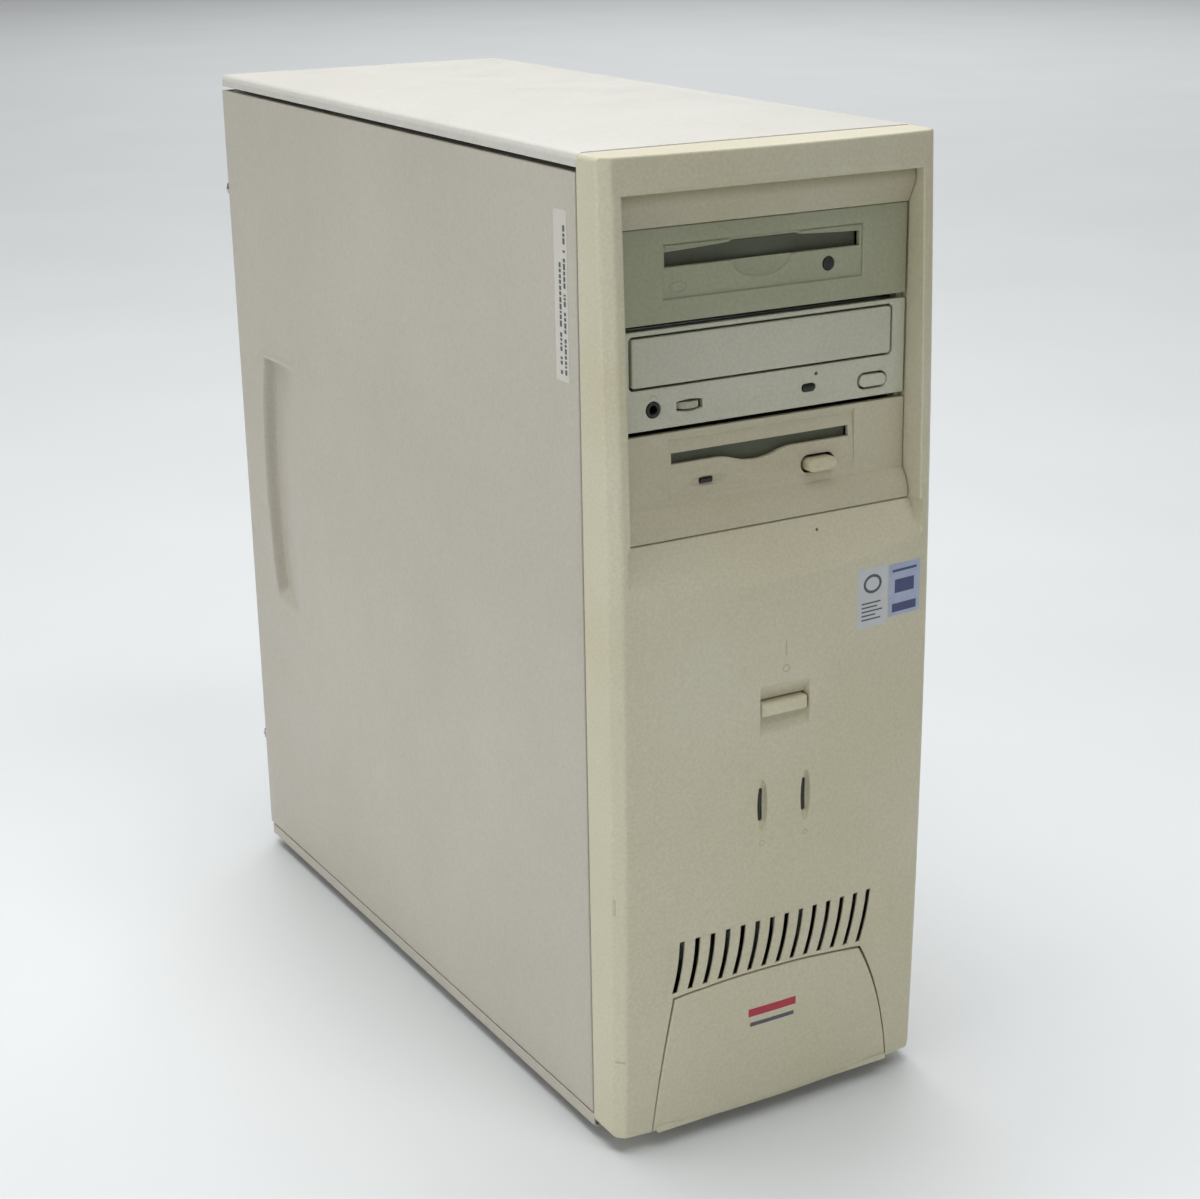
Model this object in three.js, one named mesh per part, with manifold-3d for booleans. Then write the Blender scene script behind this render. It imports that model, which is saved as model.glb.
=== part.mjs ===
// Desktop computer tower: steel case, bowed plastic front bezel, three front drives and the parts inside.
// Millimetres, +Z up. The front faces -Y and +X is on the right when facing the front.
// Inside this file y = 0 is the joint between bezel and steel case; the whole group is moved at the
// end so that the origin is under the middle of the tower, on the surface it stands on.
import * as THREE from 'three';
import { mergeVertices } from 'three/addons/utils/BufferGeometryUtils.js';
import Module from 'manifold-3d';

const wasm = await Module();
wasm.setup();

// ---- driving dimensions ----
const WIDTH = 168;
const HEIGHT = 450;
const CASE_DEPTH = 390;
const FOOT_HEIGHT = 4.5;
const SHEET = 1.2;
const GAP = 0.3;
const HALF = WIDTH / 2;

const BEZEL_EDGE_DEPTH = 19.7;
const BEZEL_CHAMFER = 4.9;
const BEZEL_BOW_ACROSS = 4.7;
const BEZEL_BOW_UP = 4.0;
const BEZEL_BOW_CENTRE = 217;
const BEZEL_BOW_REACH = 205;
const BEZEL_BOTTOM = 8;
const BEZEL_TOP = HEIGHT - 0.4;
const BEZEL_WALL = 2.8;
const BEZEL_FRONT = BEZEL_EDGE_DEPTH + BEZEL_CHAMFER + BEZEL_BOW_ACROSS;

const SCREW_PROUD = 6;
const SEAM_Y = (BEZEL_FRONT - CASE_DEPTH - SCREW_PROUD) / 2;

const PANEL_BOTTOM = 12.2;
const PANEL_TOP = 441.9;
const COVER_FLANGE_BOTTOM = 443.9;

const BAY_HALF = 74.9;
const BAY_BOTTOM = 286.5;
const BAY_TOP = 433.8;
const DRIVE_FACE = -11;
const DRIVE_HALF = 74.2;
const DRIVE_PITCH = 44.5;
const DRIVE_HEIGHT = 42.1;
const OPTICAL_BOTTOM = 334.4;
const CARTRIDGE_BOTTOM = OPTICAL_BOTTOM + DRIVE_PITCH;

const TRAY_TRAVEL = 140;
const BUTTON_CENTRE_Z = 205.4;

// ---- solids ----
const object = new THREE.Group();
object.position.y = SEAM_Y;

function toSolid(geometry) {
  const bare = geometry.clone();
  bare.deleteAttribute('normal');
  bare.deleteAttribute('uv');
  const merged = mergeVertices(bare, 1e-4);
  return new wasm.Manifold(new wasm.Mesh({
    numProp: 3,
    vertProperties: new Float32Array(merged.attributes.position.array),
    triVerts: new Uint32Array(merged.index.array),
  }));
}

function toGeometry(solid) {
  const mesh = solid.getMesh();
  const geometry = new THREE.BufferGeometry();
  geometry.setAttribute('position', new THREE.BufferAttribute(mesh.vertProperties, 3));
  geometry.setIndex(new THREE.BufferAttribute(mesh.triVerts, 1));
  geometry.computeVertexNormals();
  return geometry;
}

function cut(body, ...tools) {
  return tools.reduce((rest, tool) => rest.subtract(tool), body);
}

function join(...solids) {
  return solids.reduce((whole, solid) => whole.add(solid));
}

function box(x0, x1, y0, y1, z0, z1) {
  const geometry = new THREE.BoxGeometry(x1 - x0, y1 - y0, z1 - z0);
  geometry.translate((x0 + x1) / 2, (y0 + y1) / 2, (z0 + z1) / 2);
  return toSolid(geometry);
}

// Turns a shape drawn in the plane across an axis into a solid along that axis.
// Across x the shape is drawn in (y, z), across y in (x, z) and across z in (x, y).
function prism(axis, shape, from, to, curveSegments = 8) {
  const outline = Array.isArray(shape) ? new THREE.Shape(shape.map(([u, v]) => new THREE.Vector2(u, v))) : shape;
  const geometry = new THREE.ExtrudeGeometry(outline, { depth: to - from, bevelEnabled: false, curveSegments });
  const turn = new THREE.Matrix4();
  if (axis === 'x') {
    turn.makeBasis(new THREE.Vector3(0, 1, 0), new THREE.Vector3(0, 0, 1), new THREE.Vector3(1, 0, 0));
    turn.setPosition(from, 0, 0);
  } else if (axis === 'y') {
    turn.makeBasis(new THREE.Vector3(1, 0, 0), new THREE.Vector3(0, 0, 1), new THREE.Vector3(0, -1, 0));
    turn.setPosition(0, to, 0);
  } else {
    turn.setPosition(0, 0, from);
  }
  geometry.applyMatrix4(turn);
  return toSolid(geometry);
}

// A round bar along an axis, centred on (u, v) of the plane across it.
function bar(axis, radius, u, v, from, to, segments = 20) {
  const shape = new THREE.Shape();
  for (let i = 0; i < segments; i += 1) {
    const angle = (i + 0.5) / segments * Math.PI * 2;
    const x = u + radius * Math.cos(angle);
    const y = v + radius * Math.sin(angle);
    if (i === 0) {
      shape.moveTo(x, y);
    } else {
      shape.lineTo(x, y);
    }
  }
  return prism(axis, shape, from, to);
}

function roundedRect(u0, u1, v0, v1, radius) {
  const shape = new THREE.Shape();
  shape.moveTo(u0 + radius, v0);
  shape.lineTo(u1 - radius, v0);
  shape.absarc(u1 - radius, v0 + radius, radius, -Math.PI / 2, 0);
  shape.lineTo(u1, v1 - radius);
  shape.absarc(u1 - radius, v1 - radius, radius, 0, Math.PI / 2);
  shape.lineTo(u0 + radius, v1);
  shape.absarc(u0 + radius, v1 - radius, radius, Math.PI / 2, Math.PI);
  shape.lineTo(u0, v0 + radius);
  shape.absarc(u0 + radius, v0 + radius, radius, Math.PI, Math.PI * 1.5);
  return shape;
}

// A tube that follows a smooth path through its points.
function tube(points, radius, sides, steps) {
  const curve = new THREE.CatmullRomCurve3(points.map((point) => new THREE.Vector3(...point)));
  const section = new THREE.Shape();
  for (let i = 0; i < sides; i += 1) {
    const angle = i / sides * Math.PI * 2;
    if (i === 0) {
      section.moveTo(radius, 0);
    } else {
      section.lineTo(radius * Math.cos(angle), radius * Math.sin(angle));
    }
  }
  return toSolid(new THREE.ExtrudeGeometry(section, { steps, extrudePath: curve, bevelEnabled: false }));
}

// ---- finishes ----
const finishes = {
  bezelPlastic: [0xb9b491, 0.55, 0],
  surroundPlastic: [0xa79d88, 0.55, 0],
  opticalPlastic: [0xa3a593, 0.55, 0],
  cartridgePlastic: [0x7d8169, 0.6, 0],
  buttonPlastic: [0xc4bea0, 0.5, 0],
  panelPaint: [0xb8b3ab, 0.6, 0.1],
  coverPaint: [0xdcdad6, 0.55, 0.1],
  zincSteel: [0xa9acae, 0.4, 0.9],
  darkDoor: [0x4b5140, 0.7, 0],
  blackPlastic: [0x1c1d1b, 0.5, 0],
  lampPlastic: [0x33382a, 0.3, 0],
  circuitBoard: [0x1f5b3a, 0.5, 0],
  slotPlastic: [0xe6e2d2, 0.5, 0],
  heatsinkAluminium: [0x9b9ea1, 0.35, 1],
  greyCable: [0x9a9a96, 0.7, 0],
  wireInsulation: [0x3c3a36, 0.6, 0],
  redPlastic: [0xa32020, 0.5, 0],
  brownPlastic: [0x5a3a22, 0.5, 0],
  footRubber: [0x2b2b2b, 0.9, 0],
};

function addPiece(name, solid, finish) {
  const [color, roughness, metalness] = finishes[finish];
  const material = new THREE.MeshStandardMaterial({ color, roughness, metalness });
  const mesh = new THREE.Mesh(toGeometry(solid), material);
  mesh.name = name;
  object.add(mesh);
}

// ---- steel case ----
function baseAndCover() {
  const bend = 1.6;
  const inner = HALF - SHEET;
  const lipTop = PANEL_BOTTOM - GAP;
  const front = GAP;
  const back = CASE_DEPTH - SHEET - GAP;
  addPiece('base_pan', prism('y', [
    [-HALF, lipTop], [-HALF, FOOT_HEIGHT + bend], [-HALF + bend, FOOT_HEIGHT],
    [HALF - bend, FOOT_HEIGHT], [HALF, FOOT_HEIGHT + bend], [HALF, lipTop],
    [inner, lipTop], [inner, FOOT_HEIGHT + bend + SHEET / 2], [inner - bend, FOOT_HEIGHT + SHEET],
    [-inner + bend, FOOT_HEIGHT + SHEET], [-inner, FOOT_HEIGHT + bend + SHEET / 2], [-inner, lipTop],
  ], front, back), 'panelPaint');

  const fold = 3;
  addPiece('top_cover', prism('y', [
    [-HALF, COVER_FLANGE_BOTTOM], [-inner, COVER_FLANGE_BOTTOM], [-inner, HEIGHT - fold],
    [-inner + fold / 2, HEIGHT - SHEET], [inner - fold / 2, HEIGHT - SHEET], [inner, HEIGHT - fold],
    [inner, COVER_FLANGE_BOTTOM], [HALF, COVER_FLANGE_BOTTOM], [HALF, HEIGHT - fold],
    [HALF - fold * 0.3, HEIGHT - fold * 0.3], [HALF - fold, HEIGHT], [-HALF + fold, HEIGHT],
    [-HALF + fold * 0.3, HEIGHT - fold * 0.3], [-HALF, HEIGHT - fold],
  ], front, CASE_DEPTH), 'coverPaint');
}

const SCREW_X = -78.6;
const SCREW_Z = [67.3, 388.5];
const SCREW_NAMES = ['thumbscrew_lower', 'thumbscrew_upper'];
const REAR_LEFT = -71.6;
const SLOT_PITCH = 20.32;
const SLOT_FIRST_Z = 104;
const SLOT_COUNT = 3;
const PSU = { left: -70, right: 76, front: 248.7, back: CASE_DEPTH - SHEET - GAP, bottom: 352, top: 438 };
const PSU_FAN = { x: -25, z: 395, radius: 37 };
const INLET = { x: 47, z: 413 };
const SELECTOR = { x: 47, z: 376 };
const BOARD = { face: 75.4, thick: 1.6, front: 142, back: 384, bottom: 92, top: 338 };

function rearPanel() {
  const tabs = SCREW_Z.map((z) => box(-81.4, REAR_LEFT + 1, CASE_DEPTH - SHEET, CASE_DEPTH, z - 9, z + 9));
  const plate = join(box(REAR_LEFT, 81, CASE_DEPTH - SHEET, CASE_DEPTH, FOOT_HEIGHT + SHEET + GAP * 2,
    HEIGHT - SHEET - GAP * 2), ...tabs);
  const windows = [
    ...SCREW_Z.map((z) => bar('y', 2.3, SCREW_X, z, 380, 400, 16)),
    box(PSU.left + 6, PSU.right - 6, 380, 400, PSU.bottom + 5, PSU.top - 5),
    box(32, 74, 380, 400, 190, 334),
  ];
  for (let i = 0; i < SLOT_COUNT; i += 1) {
    const z = SLOT_FIRST_Z + i * SLOT_PITCH;
    windows.push(box(-34, 60, 380, 400, z - 6, z + 6));
  }
  const ventSlots = 8;
  for (let i = 0; i < ventSlots; i += 1) {
    const z = 215 + i * 14;
    windows.push(box(-56, -12, 380, 400, z, z + 5));
    windows.push(box(-4, 22, 380, 400, z, z + 5));
  }
  addPiece('rear_panel', cut(plate, ...windows), 'zincSteel');
}

function sideWalls() {
  addPiece('right_side_panel', box(HALF - SHEET, HALF, GAP, CASE_DEPTH, PANEL_BOTTOM, PANEL_TOP), 'panelPaint');

  const sheetFace = 80.8;
  let tray = box(sheetFace, sheetFace + SHEET, 4, 386, 14, 438);
  for (const y of [BOARD.front + 8, BOARD.back - 8]) {
    for (const z of [BOARD.bottom + 8, 215, BOARD.top - 8]) {
      tray = join(tray, bar('x', 3, y, z, BOARD.face + BOARD.thick + GAP, sheetFace + 0.1, 6));
    }
  }
  addPiece('board_tray', tray, 'zincSteel');
}

const HANDLE = { back: 362, front: 327, bottom: 163, top: 301, depth: 7.2 };

function handleHollow(inset) {
  const shape = new THREE.Shape();
  const { back, front, bottom, top } = HANDLE;
  const middle = (bottom + top) / 2;
  shape.moveTo(front - inset, bottom - inset);
  shape.lineTo(back - 9, bottom - inset);
  shape.quadraticCurveTo(back + 8 + inset, middle, back - 9, top + inset);
  shape.lineTo(front - inset, top + inset);
  return shape;
}

function accessPanel() {
  const wall = SHEET;
  const outer = box(-HALF, -HALF + wall, GAP + 0.6, CASE_DEPTH + wall + GAP, PANEL_BOTTOM, PANEL_TOP);
  const topFlange = box(-HALF, -76.5, 6, CASE_DEPTH - 8, PANEL_TOP - wall, PANEL_TOP);
  const bottomFlange = box(-HALF, -76.5, 6, CASE_DEPTH - 8, PANEL_BOTTOM, PANEL_BOTTOM + wall);
  const frontFlange = box(-HALF, -82, GAP + 0.6, GAP + 0.6 + wall, PANEL_BOTTOM + 6, PANEL_TOP - 6);
  const rearFlange = box(-HALF, -73.2, CASE_DEPTH + GAP, CASE_DEPTH + wall + GAP, PANEL_BOTTOM, PANEL_TOP);
  const pan = prism('x', handleHollow(wall), -HALF, -HALF + HANDLE.depth + wall, 10);
  const hollow = prism('x', handleHollow(0), -HALF - 5, -HALF + HANDLE.depth, 10);
  const screwHoles = SCREW_Z.map((z) => bar('y', 2.4, SCREW_X, z, CASE_DEPTH - 2, CASE_DEPTH + 4, 16));
  const panel = join(outer, topFlange, bottomFlange, frontFlange, rearFlange, pan);
  addPiece('access_panel', cut(panel, hollow, ...screwHoles), 'panelPaint');
}

function thumbscrews() {
  const headStart = CASE_DEPTH + SHEET + GAP * 2;
  SCREW_NAMES.forEach((name, index) => {
    const shape = new THREE.Shape();
    const flutes = 12;
    for (let i = 0; i < flutes * 2; i += 1) {
      const angle = i / flutes * Math.PI;
      const radius = i % 2 ? 4.4 : 4.9;
      const x = SCREW_X + radius * Math.cos(angle);
      const z = SCREW_Z[index] + radius * Math.sin(angle);
      if (i === 0) {
        shape.moveTo(x, z);
      } else {
        shape.lineTo(x, z);
      }
    }
    const head = prism('y', shape, headStart, CASE_DEPTH + SCREW_PROUD);
    const slot = box(SCREW_X - 4, SCREW_X + 4, headStart + 3, CASE_DEPTH + 9, SCREW_Z[index] - 0.6, SCREW_Z[index] + 0.6);
    const shank = bar('y', 1.9, SCREW_X, SCREW_Z[index], CASE_DEPTH - 9, headStart + 0.5, 12);
    addPiece(name, join(cut(head, slot), shank), 'zincSteel');
  });
}

function frontPlate() {
  const plate = box(-77, 80.4, 1.6, 1.6 + SHEET, FOOT_HEIGHT + SHEET + GAP * 2, HEIGHT - SHEET - GAP * 2);
  const bays = box(-75.3, 75.3, 0, 5, 300.5, 424);
  const switchHole = box(-9, 9, 0, 5, 196, 215);
  const lampHoles = [-1, 1].map((side) => box(side * LAMP_X - 3, side * LAMP_X + 3, 0, 5, 152, 169));
  const air = [];
  for (let i = 0; i < 9; i += 1) {
    air.push(box(-58 + i * 13, -50 + i * 13, 0, 5, 50, 120));
  }
  addPiece('front_chassis_plate', cut(plate, bays, switchHole, ...lampHoles, ...air), 'zincSteel');
}

const CAGE = { half: 75, front: 3.2, back: 188, bottom: 299.5, top: 423.5 };

function driveCage() {
  const wall = 1.2;
  const inner = CAGE.half - wall;
  const outer = box(-CAGE.half, CAGE.half, CAGE.front, CAGE.back, CAGE.bottom - wall, CAGE.top);
  const hollows = [
    box(-inner, inner, 0, 200, CARTRIDGE_BOTTOM - 0.6, CAGE.top - wall),
    box(-inner, inner, 0, 200, OPTICAL_BOTTOM - 0.2, CARTRIDGE_BOTTOM - 0.6 - wall),
    box(-inner, inner, 0, 200, CAGE.bottom, OPTICAL_BOTTOM - 0.2 - wall),
  ];
  const windows = [];
  for (const z of [341, 385]) {
    for (let i = 0; i < 3; i += 1) {
      windows.push(box(-90, 90, 22 + i * 54, 58 + i * 54, z, z + 24));
    }
  }
  windows.push(box(-90, -60, 22, 166, 305, 325));
  windows.push(box(60, 90, 22, 166, 305, 325));
  addPiece('drive_cage', cut(outer, ...hollows, ...windows), 'zincSteel');
}

const DISK = { half: 50.8, front: 24, back: 170, bottom: 264.5, top: 290.6 };

function hardDisk() {
  const gap = 0.5;
  const arm = 1.2;
  const side = DISK.half + gap;
  const cradle = prism('y', [
    [-side - 12, 298], [-side - 12, 298 - arm], [-side - arm, 298 - arm], [-side - arm, DISK.bottom - gap - arm],
    [side + arm, DISK.bottom - gap - arm], [side + arm, 298 - arm], [side + 12, 298 - arm], [side + 12, 298],
    [side, 298], [side, DISK.bottom - gap], [-side, DISK.bottom - gap], [-side, 298],
  ], DISK.front - 6, DISK.back - 10);
  const window = box(-36, 36, DISK.front + 10, DISK.back - 26, DISK.bottom - 5, DISK.bottom);
  addPiece('hard_disk_cradle', cut(cradle, window), 'zincSteel');

  const body = box(-DISK.half, DISK.half, DISK.front, DISK.back, DISK.bottom, DISK.top);
  const underside = box(-DISK.half + 4, DISK.half - 4, DISK.front + 4, DISK.back - 4, DISK.bottom - 1, DISK.bottom + 5);
  const lidStep = box(-DISK.half - 1, DISK.half + 1, DISK.back - 14, DISK.back + 1, DISK.top - 7, DISK.top + 1);
  addPiece('hard_disk', cut(body, underside, lidStep), 'heatsinkAluminium');
}

// ---- front bezel ----
const LAMP_X = 11.6;
const LAMP_Z = 160.3;

// The block whose front is bowed across and upwards, with chamfered upright edges.
function bowedBlock(inset, overhang) {
  const half = HALF - inset;
  const faceHalf = half - BEZEL_CHAMFER * 0.99;
  const edge = -(BEZEL_EDGE_DEPTH - inset * 0.6);
  const face = edge - BEZEL_CHAMFER * 0.99;
  const shape = new THREE.Shape();
  shape.moveTo(half, overhang);
  shape.lineTo(-half, overhang);
  shape.lineTo(-half, edge);
  const spans = 14;
  for (let i = 0; i <= spans; i += 1) {
    const across = -1 + 2 * i / spans;
    shape.lineTo(across * faceHalf, face - (BEZEL_BOW_ACROSS - inset * 0.1) * (1 - across * across));
  }
  shape.lineTo(half, edge);
  const from = BEZEL_BOTTOM + inset;
  const to = BEZEL_TOP - inset;
  const geometry = new THREE.ExtrudeGeometry(shape, { depth: to - from, steps: 14, bevelEnabled: false });
  geometry.translate(0, 0, from);
  const position = geometry.attributes.position;
  for (let i = 0; i < position.count; i += 1) {
    if (position.getY(i) < -1) {
      const rise = (position.getZ(i) - BEZEL_BOW_CENTRE) / BEZEL_BOW_REACH;
      position.setY(i, position.getY(i) + BEZEL_BOW_UP * rise * rise);
    }
  }
  return toSolid(geometry);
}

const HOOD_SLOPE = 0.62;
const CREST_SLOPE = 0.9;
const HOOD_START = -15.5;
const CREST_START = -20.4;

// Everything in front of the two sloping planes that cut the bowed front below and above the bays.
function facetRegion(setBack) {
  const hoodDrop = 36;
  const hoodStart = HOOD_START + setBack;
  const crestStart = CREST_START + setBack;
  const crestRise = 7;
  const hood = prism('x', [
    [hoodStart, BAY_BOTTOM], [-60, BAY_BOTTOM], [-60, BAY_BOTTOM - hoodDrop],
    [hoodStart - HOOD_SLOPE * hoodDrop, BAY_BOTTOM - hoodDrop],
  ], -HALF + BEZEL_CHAMFER + 3, HALF - BEZEL_CHAMFER - 3);
  const crest = prism('x', [
    [crestStart, BAY_TOP], [crestStart - CREST_SLOPE * crestRise, BAY_TOP + crestRise],
    [-60, BAY_TOP + crestRise], [-60, BAY_TOP],
  ], -HALF + BEZEL_CHAMFER + 3, HALF - BEZEL_CHAMFER - 3);
  return join(hood, crest);
}

// Outline of the lower plate: a low arch on top, a nearly straight left side and a curved right side.
function lowerPlateShape(shrink) {
  const bottom = BEZEL_BOTTOM - 4;
  const shape = new THREE.Shape();
  shape.moveTo(-66.8 + shrink, bottom);
  shape.quadraticCurveTo(-63.5 + shrink, 38, -56.3 + shrink, 75.2 - shrink);
  shape.quadraticCurveTo(-5, 82.4 - shrink, 46.5 - shrink, 74.2 - shrink);
  shape.quadraticCurveTo(62.5 - shrink, 45, 66.2 - shrink, bottom);
  return shape;
}

const VENT_COUNT = 14;

function ventSlots() {
  const slots = [];
  const half = 1;
  for (let i = 0; i < VENT_COUNT; i += 1) {
    const topX = -51.7 + i * 7.85;
    const bottomX = -55.3 + i * 7.7;
    const middle = (i - (VENT_COUNT - 1) / 2) / VENT_COUNT;
    const topZ = 103.4 - 3 * middle * middle;
    const bottomZ = 79.6 - 12 * middle * middle - 0.9 * middle;
    const bulge = 1.7;
    const bendX = (topX + bottomX) / 2 + bulge;
    const bendZ = (topZ + bottomZ) / 2;
    const shape = new THREE.Shape();
    shape.moveTo(bottomX + half, bottomZ);
    shape.quadraticCurveTo(bendX + half, bendZ, topX + half, topZ);
    shape.lineTo(topX - half, topZ);
    shape.quadraticCurveTo(bendX - half, bendZ, bottomX - half, bottomZ);
    slots.push(prism('y', shape, -40, -12, 4));
  }
  return slots;
}

function frontBezel() {
  const outline = prism('y', roundedRect(-HALF, HALF, BEZEL_BOTTOM, BEZEL_TOP, 3), -60, 5, 5);
  const outer = cut(bowedBlock(0, 0).intersect(outline), facetRegion(0));
  const scoopBacking = box(-17, 17, -40, -16, 188, 223);
  const lampBacking = join(...[-1, 1].map((side) => box(side * LAMP_X - 4, side * LAMP_X + 4, -40, -18, 146, 175)));
  const collar = box(-BAY_HALF - 2.6, BAY_HALF + 2.6, -40, -3, BAY_BOTTOM - 2.6, BAY_TOP + 2.6);
  const cavity = cut(bowedBlock(BEZEL_WALL, 1), facetRegion(BEZEL_WALL * 1.25), collar, scoopBacking, lampBacking);
  const shell = cut(outer, cavity);

  const bayOpening = box(-BAY_HALF, BAY_HALF, -60, 5, BAY_BOTTOM, BAY_TOP);
  const scoopRadius = 16;
  const scoopFloor = -24.6;
  const scoop = bar('x', scoopRadius, scoopFloor - scoopRadius, BUTTON_CENTRE_Z, -13, 13, 40);
  const buttonHole = box(-12.7, 12.7, -40, 0, BUTTON_CENTRE_Z - 3.6, BUTTON_CENTRE_Z + 3.6);
  const lampScoops = [-1, 1].map((side) => {
    const lens = new THREE.Shape();
    lens.moveTo(side * LAMP_X, LAMP_Z - 11.2);
    lens.quadraticCurveTo(side * LAMP_X + 3.4, LAMP_Z, side * LAMP_X, LAMP_Z + 11.2);
    lens.quadraticCurveTo(side * LAMP_X - 3.4, LAMP_Z, side * LAMP_X, LAMP_Z - 11.2);
    return prism('y', lens, -40, -27.2);
  });
  const lampHoles = [-1, 1].map((side) => prism('y',
    roundedRect(side * LAMP_X - 1.1, side * LAMP_X + 1.1, LAMP_Z - 8, LAMP_Z + 8, 1), -40, -10, 3));
  const platePocket = prism('y', lowerPlateShape(0), -60, -8, 8);
  addPiece('front_bezel', cut(shell, bayOpening, scoop, buttonHole, ...lampScoops, ...lampHoles,
    ...ventSlots(), platePocket), 'bezelPlastic');

  const plate = prism('y', lowerPlateShape(0.4), -60, -8.4, 8);
  addPiece('lower_front_plate', shell.intersect(plate), 'bezelPlastic');
}

function frontControls() {
  const z = BUTTON_CENTRE_Z;
  const cap = prism('x', [
    [-6, z - 3.2], [-6, z + 3.2], [-27.2, z + 3.2], [-28.4, z + 1.9], [-28.4, z - 1.9], [-27.2, z - 3.2],
  ], -12.3, 12.3);
  addPiece('power_button', cap, 'bezelPlastic');
  addPiece('power_switch', join(
    box(-6.5, 6.5, -1.2, 9, z - 5.5, z + 5.5),
    box(-2.5, 2.5, -1.9, 0, z - 2.5, z + 2.5),
  ), 'blackPlastic');
  ['power_light_pipe', 'disk_light_pipe'].forEach((name, index) => {
    const x = index === 0 ? -LAMP_X : LAMP_X;
    const lens = prism('y', roundedRect(x - 0.8, x + 0.8, LAMP_Z - 7.7, LAMP_Z + 7.7, 0.7), -26.4, -10.5, 3);
    addPiece(name, join(lens, box(x - 2.2, x + 2.2, -12, -0.8, LAMP_Z - 4, LAMP_Z + 4)), 'lampPlastic');
  });
}

// ---- drive bay surround with the floppy face ----
const FLOPPY = {
  slotLeft: -46.5, slotRight: 45, slotBottom: 317.8, slotTop: 322.8,
  buttonLeft: 19.4, buttonRight: 37.4, buttonBottom: 304.2, buttonTop: 312.4,
  lampX: -29, lampZ: 308.8,
};

function baySurround() {
  const half = BAY_HALF - GAP;
  const faceTop = OPTICAL_BOTTOM - 2.3;
  const floor = BAY_BOTTOM + GAP;
  const ceiling = BAY_TOP - GAP;
  const stripBottom = CARTRIDGE_BOTTOM + DRIVE_HEIGHT - 2.2;
  // Lower member: the lip bulges forward under the floppy face.
  const lower = prism('x', [
    [-16, floor], [-16, floor + 2], [-15.3, floor + 5.5], [-13.4, floor + 9.6], [DRIVE_FACE, floor + 12.6],
    [DRIVE_FACE, faceTop], [DRIVE_FACE + 3, faceTop], [DRIVE_FACE + 3, floor + 8], [DRIVE_FACE + 2, floor],
  ], -half, half);
  // Upper member: a pillow that leans in from the bezel rim to the drive faces.
  const upper = prism('x', [
    [-14.6, ceiling], [-15.6, ceiling - 2.6], [-14.6, ceiling - 6.2], [-12.6, ceiling - 10.4],
    [DRIVE_FACE + 0.3, stripBottom], [DRIVE_FACE + 3, stripBottom], [DRIVE_FACE + 3, ceiling],
  ], -half, half);
  const rails = [-1, 1].map((side) => box(
    Math.min(side * half, side * (half - 2.6)), Math.max(side * half, side * (half - 2.6)),
    DRIVE_FACE + 4.2, DRIVE_FACE + 9, floor + 2, ceiling));
  const backFrames = [
    box(-half, half, DRIVE_FACE + 2.8, DRIVE_FACE + 9, ceiling - 3, ceiling),
    box(-half, half, DRIVE_FACE + 1.8, DRIVE_FACE + 9, floor, floor + 3),
  ];
  const slot = prism('y', [
    [FLOPPY.slotLeft, FLOPPY.slotBottom], [-22, FLOPPY.slotBottom], [-14, 315.4], [-4, 314.6], [6, 315.4],
    [14, FLOPPY.slotBottom], [FLOPPY.slotRight, FLOPPY.slotBottom], [FLOPPY.slotRight, FLOPPY.slotTop],
    [FLOPPY.slotLeft, FLOPPY.slotTop],
  ], -30, 0);
  const buttonHole = prism('y',
    roundedRect(FLOPPY.buttonLeft, FLOPPY.buttonRight, FLOPPY.buttonBottom, FLOPPY.buttonTop, 4), -30, 0, 4);
  const lampHole = box(FLOPPY.lampX - 3.3, FLOPPY.lampX + 3.3, -30, 0, FLOPPY.lampZ - 1.3, FLOPPY.lampZ + 1.3);
  addPiece('bay_surround', cut(join(lower, upper, ...rails, ...backFrames), slot, buttonHole, lampHole),
    'surroundPlastic');

  const driveHalf = 50.8;
  const caseFront = -2;
  const shell = cut(
    box(-driveHalf, driveHalf, caseFront, 143, 302.5, 327.9),
    box(-driveHalf + 1, driveHalf - 1, caseFront - 1, 142, 303.5, 326.9),
  );
  addPiece('floppy_drive_case', shell, 'zincSteel');
  const hinge = FLOPPY.slotTop + 1.2;
  addPiece('floppy_slot_door', join(
    box(FLOPPY.slotLeft + 0.6, FLOPPY.slotRight - 0.6, DRIVE_FACE + 3.6, DRIVE_FACE + 4.4, 314, hinge),
    bar('x', 0.9, DRIVE_FACE + 4.3, hinge, FLOPPY.slotLeft - 1.5, FLOPPY.slotRight + 1.5, 10),
  ), 'darkDoor');
  const buttonFront = DRIVE_FACE - 3.8;
  addPiece('floppy_eject_button', join(
    prism('y', roundedRect(FLOPPY.buttonLeft + 1, FLOPPY.buttonRight - 1, FLOPPY.buttonBottom + 0.9,
      FLOPPY.buttonTop - 0.9, 3), buttonFront, -7, 4),
    box(FLOPPY.buttonLeft + 3, FLOPPY.buttonRight - 3, -7.5, 6, 306.5, 310),
  ), 'buttonPlastic');
  addPiece('floppy_drive_light', box(FLOPPY.lampX - 3, FLOPPY.lampX + 3, DRIVE_FACE + 0.4, -4,
    FLOPPY.lampZ - 1, FLOPPY.lampZ + 1), 'lampPlastic');
}

// ---- optical drive ----
const TRAY = { half: 66, bottom: 353, top: 373.6 };
const WHEEL = { x: -37.7, radius: 6.5, z: 342.9, half: 1.3 };

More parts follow.
